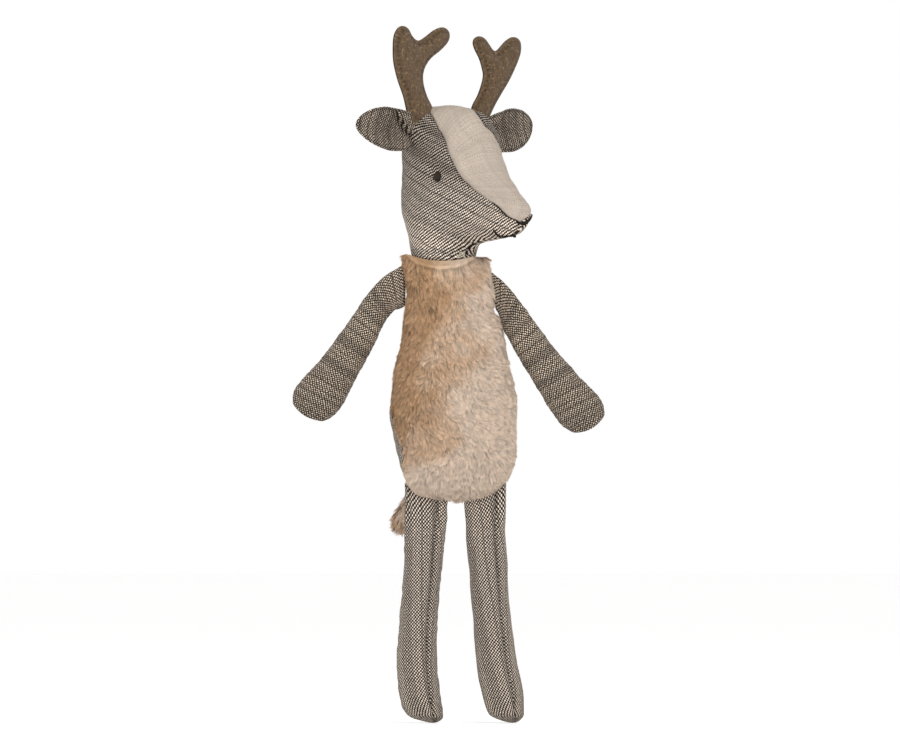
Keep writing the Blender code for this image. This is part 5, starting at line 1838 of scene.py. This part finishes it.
@dataclass(frozen=True)
class Ear:
    """A leaf of two tweed layers, cupped forwards and folded over at its root."""

    side: Side
    stand: HeadFrame = HeadFrame()
    root: Spot = (0.0010, 0.0206, 0.0532)
    length: float = 0.0328
    half_width: float = 0.0091
    cup: float = 0.0034
    layer: float = 0.0011
    gap: float = 0.0003
    places: tuple[float, ...] = (0.0, 0.10, 0.25, 0.50, 0.70, 0.86, 0.97, 1.0)
    widths: tuple[float, ...] = (0.62, 0.88, 1.0, 1.08, 0.95, 0.68, 0.30, 0.0)
    lift: float = 0.0015
    tilt: float = 0.0035
    flap: float = 0.0024
    crease: float = 0.0010
    ripple: float = 0.0004
    rim_inset: float = 0.0010
    rows: int = 90
    columns: int = 65

    def places_on(self) -> tuple[Array, Array, Array]:
        """Return places along and across the ear, and its width along it."""
        t = eased(self.rows, 0.5)[:, None]
        width = smooth_root(self.places, self.widths, t[:, 0])[:, None]
        return t, np.linspace(-1.0, 1.0, self.columns)[None, :], width

    def fold(self) -> Array:
        """Return how far above the fold line at the root each point lies, across the ear."""
        t, y, _ = self.places_on()
        return y + 0.10 - 2.8 * (t - 0.08)

    def sheet(self, depth: Array | float) -> tuple[Array, Array]:
        """Return a surface of the ear at a depth, and its cloth places."""
        t, y, width = self.places_on()
        forward = self.cup * (y * width) ** 2
        flap = smooth_step(0.0, 0.16, self.fold()) * (1.0 - smooth_step(0.26, 0.44, t))
        forward = forward + self.flap * flap - self.crease * bell(self.fold() + 0.12, 0.22) * bell(t - 0.1, 0.3)
        up = y * width * self.half_width + self.lift + self.tilt * t
        ripple = self.ripple * np.sin(5.0 * t + 2.0 * y) * (1.0 - bell(y, 0.5))
        along = self.side.value * t * self.length + 0.0 * y
        points = np.stack([forward + ripple + depth, along, up], axis=-1)
        cloth = np.stack([up, np.abs(along)], axis=-1) * MM
        return points + np.array((self.root[0], self.side.value * self.root[1], self.root[2])), cloth

    def shade(self) -> Array:
        """Return painted shade for the tweed: in the groove of the stitched rim, in the cupped hollow and in the fold
        at the root.
        """
        t, y, width = self.places_on()
        edge = np.minimum((1.0 - np.abs(y)) * width * self.half_width, (1.0 - t) * self.length * 0.6)
        # painted shade in the rim's stitched groove and in the cupped hollow
        dark = 0.50 * bell(edge - self.rim_inset, 0.0004) + 0.20 * bell(y - 0.05, 0.6) * bell(t - 0.45, 0.35)
        # painted shade in the crease of the fold
        dark = dark + 0.45 * bell(self.fold(), 0.10) * (1.0 - smooth_step(0.30, 0.46, t))
        return greys(1.0 - np.clip(dark, 0.0, 0.8))

    def build(self, wardrobe: Wardrobe) -> None:
        """Make the ear's front and back layers."""
        t, y, _ = self.places_on()
        edge = np.sqrt(np.clip(1.0 - np.abs(y) ** 5, 0.0, 1.0)) * np.sqrt(np.clip(1.0 - t**12, 0.0, 1.0))
        name = f"ear_{self.side.word}"
        for layer, low, high in (("front", self.gap / 2.0, self.layer), ("back", -self.gap / 2.0, -self.layer)):
            near, cloth = self.sheet(low * edge)
            far, _ = self.sheet(low * edge + high * edge)
            grids = []
            for points, sign in ((near, -1.0), (far, 1.0)):
                world = self.stand.world(points)
                way = self.stand.world(np.array((1.0, 0.0, 0.0))) - self.stand.world(np.zeros(3))
                outward = np.broadcast_to(way * sign * math.copysign(1.0, high), world.shape)
                grids.append(Grid(world, cloth, self.shade()).facing(outward))
            piece = wardrobe.dress(grids_object(f"{name}_{layer}_cloth", grids), EAR_PAINTED_SHADE_TWEED)
            Place(name, "tweed", (f"{name}_{layer}",), 0.1).settle(piece)


RIGHT_ANTLER = (
    (25.3, 61.7), (28.6, 71.1), (32.0, 78.8), (34.3, 86.0), (34.8, 92.3), (34.3, 97.7), (32.3, 101.0), (29.2, 102.2),
    (26.2, 101.0), (24.1, 98.1), (21.7, 96.1), (19.2, 95.9), (15.6, 97.7), (10.7, 100.6), (5.9, 102.0), (2.6, 100.8),
    (1.5, 98.3), (2.9, 95.2), (7.1, 91.8), (12.6, 88.4), (16.2, 84.6), (17.7, 80.6), (17.1, 76.1), (15.0, 71.1),
    (12.0, 66.2), (13.2, 61.7), (19.2, 59.0),
)
LEFT_ANTLER = (
    (12.6, 69.6), (16.8, 76.3), (19.7, 83.6), (18.9, 88.0), (17.1, 92.1), (14.4, 96.1), (13.5, 98.8), (14.4, 100.6),
    (17.1, 101.6), (20.2, 100.6), (22.9, 97.9), (25.3, 95.4), (27.4, 95.2), (29.9, 97.2), (32.9, 99.7), (36.5, 101.4),
    (39.5, 101.1), (41.5, 99.3), (41.7, 95.7), (40.5, 92.1), (38.0, 87.6), (34.7, 82.6), (30.2, 76.8), (25.9, 70.9),
    (22.6, 65.5), (20.2, 62.8), (14.7, 64.2),
)


@dataclass(frozen=True)
class Antler:
    """A forked antler of two felt sides, stitched round its outline and lightly stuffed."""

    side: Side
    outline: tuple[tuple[float, float], ...]
    middle: tuple[float, float]
    drop: float
    stand: HeadFrame = HeadFrame()
    forward: float = 0.0055
    half_thickness: float = 0.0031
    fullness: float = 0.0022
    columns: int = 360
    rows: int = 34
    flange: float = 0.00045
    puff: float = 0.00022
    puff_size: float = 0.007
    ditch: float = 0.00045
    stitch_inset: float = 0.0016
    stitch_pitch: float = 0.0021

    def placed(self, points: Array) -> Array:
        """Return antler points, as across, up and thickness, in the toy's frame."""
        across, up, thick = points[..., 0], points[..., 1], points[..., 2]
        local = np.stack([thick + self.forward, across * self.side.value, up - self.drop], axis=-1)
        return self.stand.world(local)

    def side_grid(self, half: Half) -> Grid:
        """Return one felt side, from its stitched edge to its middle."""
        line = closed_line(self.outline, self.columns) / MM
        centre = np.array(self.middle) / MM
        shares = np.linspace(0.0, 1.0, self.rows)[:, None, None] ** 1.25
        flat = line[None] * (1.0 - shares) + centre * shares
        away = np.linalg.norm(flat[:, :, None, :] - line[None, None], axis=-1)
        inset, nearest = away.min(axis=-1), away.argmin(axis=-1)
        lengths = np.cumsum(np.linalg.norm(np.diff(line, axis=0, append=line[:1]), axis=1))[nearest]
        stitches = np.cos(TAU * lengths / self.stitch_pitch)
        ditch = bell(inset - self.stitch_inset, 0.0007) * (0.6 + 0.4 * stitches)
        thick = self.half_thickness * (1.0 - np.exp(-inset / self.fullness)) + 0.0003 * bell(inset, 0.0008)
        solid = np.concatenate([flat, thick[..., None]], axis=-1)
        puff = Ripples(self.puff, self.puff_size, 80 + half.value).at(solid) * (1.0 - bell(inset, 0.0016))
        solid[..., 2] = (thick + puff - self.ditch * ditch) * half.value
        solid[..., :2] += unit(line - centre)[None] * (self.flange * bell(inset, 0.0009))[..., None]
        # painted shade in the stitch ditch, dashed at each stitch; the outermost edge is a little lighter
        dark = 1.0 - 0.50 * bell(inset - self.stitch_inset, 0.0006) * (0.55 + 0.45 * stitches)
        tints = greys(dark * (1.0 + 0.12 * bell(inset, 0.0008)))
        outward = self.placed(solid) - self.placed(np.array((*centre, 0.0)))
        return Grid(self.placed(solid), flat * MM, tints, True).facing(outward)

    def build(self, wardrobe: Wardrobe) -> None:
        """Make the antler's front and back."""
        name = f"antler_{self.side.word}"
        for half, layer in ((Half.HIGH, "front"), (Half.LOW, "back")):
            piece = grids_object(f"{name}_{layer}_felt", [self.side_grid(half)])
            nodes = [f"{name}_{layer}"] + ([f"{name}_stuffing"] if half is Half.HIGH else [])
            Place("head", "felt", tuple(nodes), 0.4).settle(wardrobe.dress(piece, FELT))


# The neck


@dataclass(frozen=True)
class Neck:
    """The plug of loose fibre inside the collar, and the knot of the gathering thread."""

    stand: HeadFrame = HeadFrame()
    lift: float = 0.0045
    radius: float = 0.0124
    half_height: float = 0.0098
    knot: Spot = (0.0040, -0.0150, 0.2108)
    knot_reach: float = 0.0016

    def plug(self, wardrobe: Wardrobe) -> None:
        """Make the fibre plug."""
        up = np.linspace(0.02, 0.98, 40)[:, None] * math.pi
        around = np.linspace(0.0, TAU, 64, endpoint=False)[None, :]
        ways = np.stack(
            [np.sin(up) * np.cos(around), np.sin(up) * np.sin(around), np.cos(up) + 0.0 * around], axis=-1
        )
        points = ways * np.array((self.radius, self.radius, self.half_height))
        points = points - ways * np.abs(Ripples(0.0005, 0.006, 91).at(points))[..., None]
        place = points + np.array((0.0, 0.0, self.lift))
        grid = Grid(self.stand.world(place), points[..., :2] * MM, wrap=True)
        outward = grid.points - self.stand.world(np.array((0.0, 0.0, self.lift)))
        piece = grids_object("neck_fibre_plug", [grid.facing(outward)])
        Place("neck", "stuffing", ("neck_stuffing",), 0.8).settle(wardrobe.dress(piece, FIBRE))

    def tie(self, wardrobe: Wardrobe) -> None:
        """Make the knot: a small loop round two short ends."""
        angle = np.linspace(0.0, 1.6 * TAU, 60)
        loop = np.stack([np.cos(angle) * 0.0011, np.sin(2.0 * angle) * 0.0004, np.sin(angle) * 0.0009], axis=-1)
        t = np.linspace(0.0, 1.0, 20)
        ends = [
            np.stack([way * self.knot_reach * t * 1.4, -0.0006 * np.sin(2.5 * t), -self.knot_reach * t**1.5], axis=-1)
            for way in (-1.0, 0.7)
        ]
        middle = FRAME_PLACE + np.array(self.knot)
        grids = [Thread(0.00030).tube(line + middle, 0.6) for line in (loop, *ends)]
        piece = grids_object("neck_thread_knot", grids)
        Place("torso", "thread").settle(wardrobe.dress(piece, PALE_THREAD))

    def build(self, wardrobe: Wardrobe) -> None:
        """Make the plug and the knot."""
        self.plug(wardrobe)
        self.tie(wardrobe)


# Light, floor and camera


@dataclass(frozen=True)
class Studio:
    """Plain soft light, a pale floor and the camera of the photograph."""

    middle: Spot = (0.0012, 0.0033, 0.1566)
    distance: float = 8.0
    view_width: float = 0.405
    sensor: float = 36.0
    fill_light: float = 0.50
    key_power: float = 10.4
    side_power: float = 4.0
    lamp_size: float = 0.9
    floor_reach: float = 6.0
    floor_glow: float = 0.45

    def camera(self) -> None:
        """Make the camera at the photograph's angle."""
        lens = bpy.data.cameras.new("camera")
        lens.sensor_width = self.sensor
        lens.lens = self.sensor * self.distance / self.view_width
        lens.clip_start = 0.05
        lens.clip_end = 50.0
        made = linked_object("camera", lens)
        made.location = (self.middle[0], self.middle[1] - self.distance, self.middle[2])
        made.rotation_euler = (math.pi / 2.0, 0.0, 0.0)
        bpy.context.scene.camera = made

    def lamp(self, name: str, place: Spot, power: float) -> None:
        """Make one soft square lamp that faces the toy.

        Args:
            name: The lamp's name.
            place: Where it hangs.
            power: Its power in watts.
        """
        light = bpy.data.lights.new(name, "AREA")
        light.shape = "SQUARE"
        light.size = self.lamp_size
        light.energy = power
        made = linked_object(name, light)
        made.location = place
        made.rotation_euler = (Vector(self.middle) - Vector(place)).to_track_quat("-Z", "Y").to_euler()

    def world(self) -> None:
        """Make even pale surroundings that the camera sees as white."""
        made = bpy.data.worlds.new("studio")
        bpy.context.scene.world = made
        made.use_nodes = True
        bench = Bench(made.node_tree)
        background = made.node_tree.nodes["Background"]
        background.inputs["Color"].default_value = (1.0, 1.0, 1.0, 1.0)
        path = bench.node("ShaderNodeLightPath")
        seen = bench.math("MAXIMUM", path.outputs["Is Camera Ray"], path.outputs["Is Glossy Ray"])
        seen = bench.math("MAXIMUM", seen, path.outputs["Is Transmission Ray"])
        bench.feed(background.inputs["Strength"], bench.blend(seen, self.fill_light, 1.0))

    def floor(self) -> None:
        """Make the pale floor."""
        reach = self.floor_reach
        corners = np.array(((-reach, -reach, 0.0), (reach, -reach, 0.0), (reach, reach, 0.0), (-reach, reach, 0.0)))
        made = mesh_object("studio_floor", corners, [[0, 1, 2, 3]])
        material = bpy.data.materials.new("studio_floor")
        material.use_nodes = True
        bench = Bench(material.node_tree)
        shader = material.node_tree.nodes["Principled BSDF"]
        grain = bench.noise(bench.node("ShaderNodeTexCoord").outputs["Object"], 6.0).outputs[0]
        tone = bench.tint(grain, (0.955, 0.955, 0.95), (0.975, 0.975, 0.97))
        bench.feed(shader.inputs["Base Color"], tone)
        shader.inputs["Roughness"].default_value = 0.9
        path = bench.node("ShaderNodeLightPath")
        shader.inputs["Emission Color"].default_value = (1.0, 1.0, 1.0, 1.0)
        glow = bench.math("MULTIPLY", path.outputs["Is Camera Ray"], self.floor_glow)
        bench.feed(shader.inputs["Emission Strength"], glow)
        made.data.materials.append(material)

    def build(self) -> None:
        """Make the whole studio."""
        scene = bpy.context.scene
        scene.view_settings.view_transform = "Standard"
        self.camera()
        self.world()
        self.floor()
        self.lamp("key", (0.55, -1.3, 1.0), self.key_power)
        self.lamp("side", (-1.2, -0.9, 0.5), self.side_power)


def main() -> None:
    """Build the studio and the toy, piece by piece."""
    logging.basicConfig(level=logging.INFO, format="%(message)s")
    Studio().build()
    wardrobe = Wardrobe()
    Torso().build(wardrobe)
    Tail().build(wardrobe)
    head = Head()
    head.build(wardrobe)
    Embroidery(head).build(wardrobe)
    Neck().build(wardrobe)
    for side in Side:
        Ear(side).build(wardrobe)
    Antler(Side.RIGHT, RIGHT_ANTLER, middle=(24.5, 83.0), drop=0.0).build(wardrobe)
    Antler(Side.LEFT, LEFT_ANTLER, middle=(27.0, 85.0), drop=0.0034).build(wardrobe)
    right_bow = (0.0, 0.0, 0.0, 0.0002, 0.0012, 0.0016, 0.0011, 0.0008, 0.0008)
    Arm(
        Side.RIGHT, length=0.0735, rise=0.0030, shoulder=(-0.0238, 0.0, 0.1978), lean_deg=0.0, bow=right_bow,
        root_reach=0.0024,
    ).build(wardrobe)
    left_bow = (0.0, 0.0, 0.0010, 0.0013, 0.0013, 0.0008, -0.0004, -0.0005, -0.0005)
    Arm(
        Side.LEFT, length=0.0765, rise=0.0004, shoulder=(0.0190, 0.0, 0.1955), lean_deg=12.0, bow=left_bow,
    ).build(wardrobe)
    right_bends = (0.0, 0.0, -0.06, -0.18, -0.38, -0.46, -0.34, -0.06)
    Leg(Side.RIGHT, hip=(-0.0122, 0.0, 0.1015), bends=right_bends, toe=0.35).build(wardrobe)
    left_bends = (0.0, 0.02, 0.06, 0.20, 0.38, 0.60, 0.90, 1.14)
    Leg(Side.LEFT, hip=(0.0142, 0.0, 0.1015), bends=left_bends, toe=1.42).build(wardrobe)


if __name__ == "__main__":
    main()
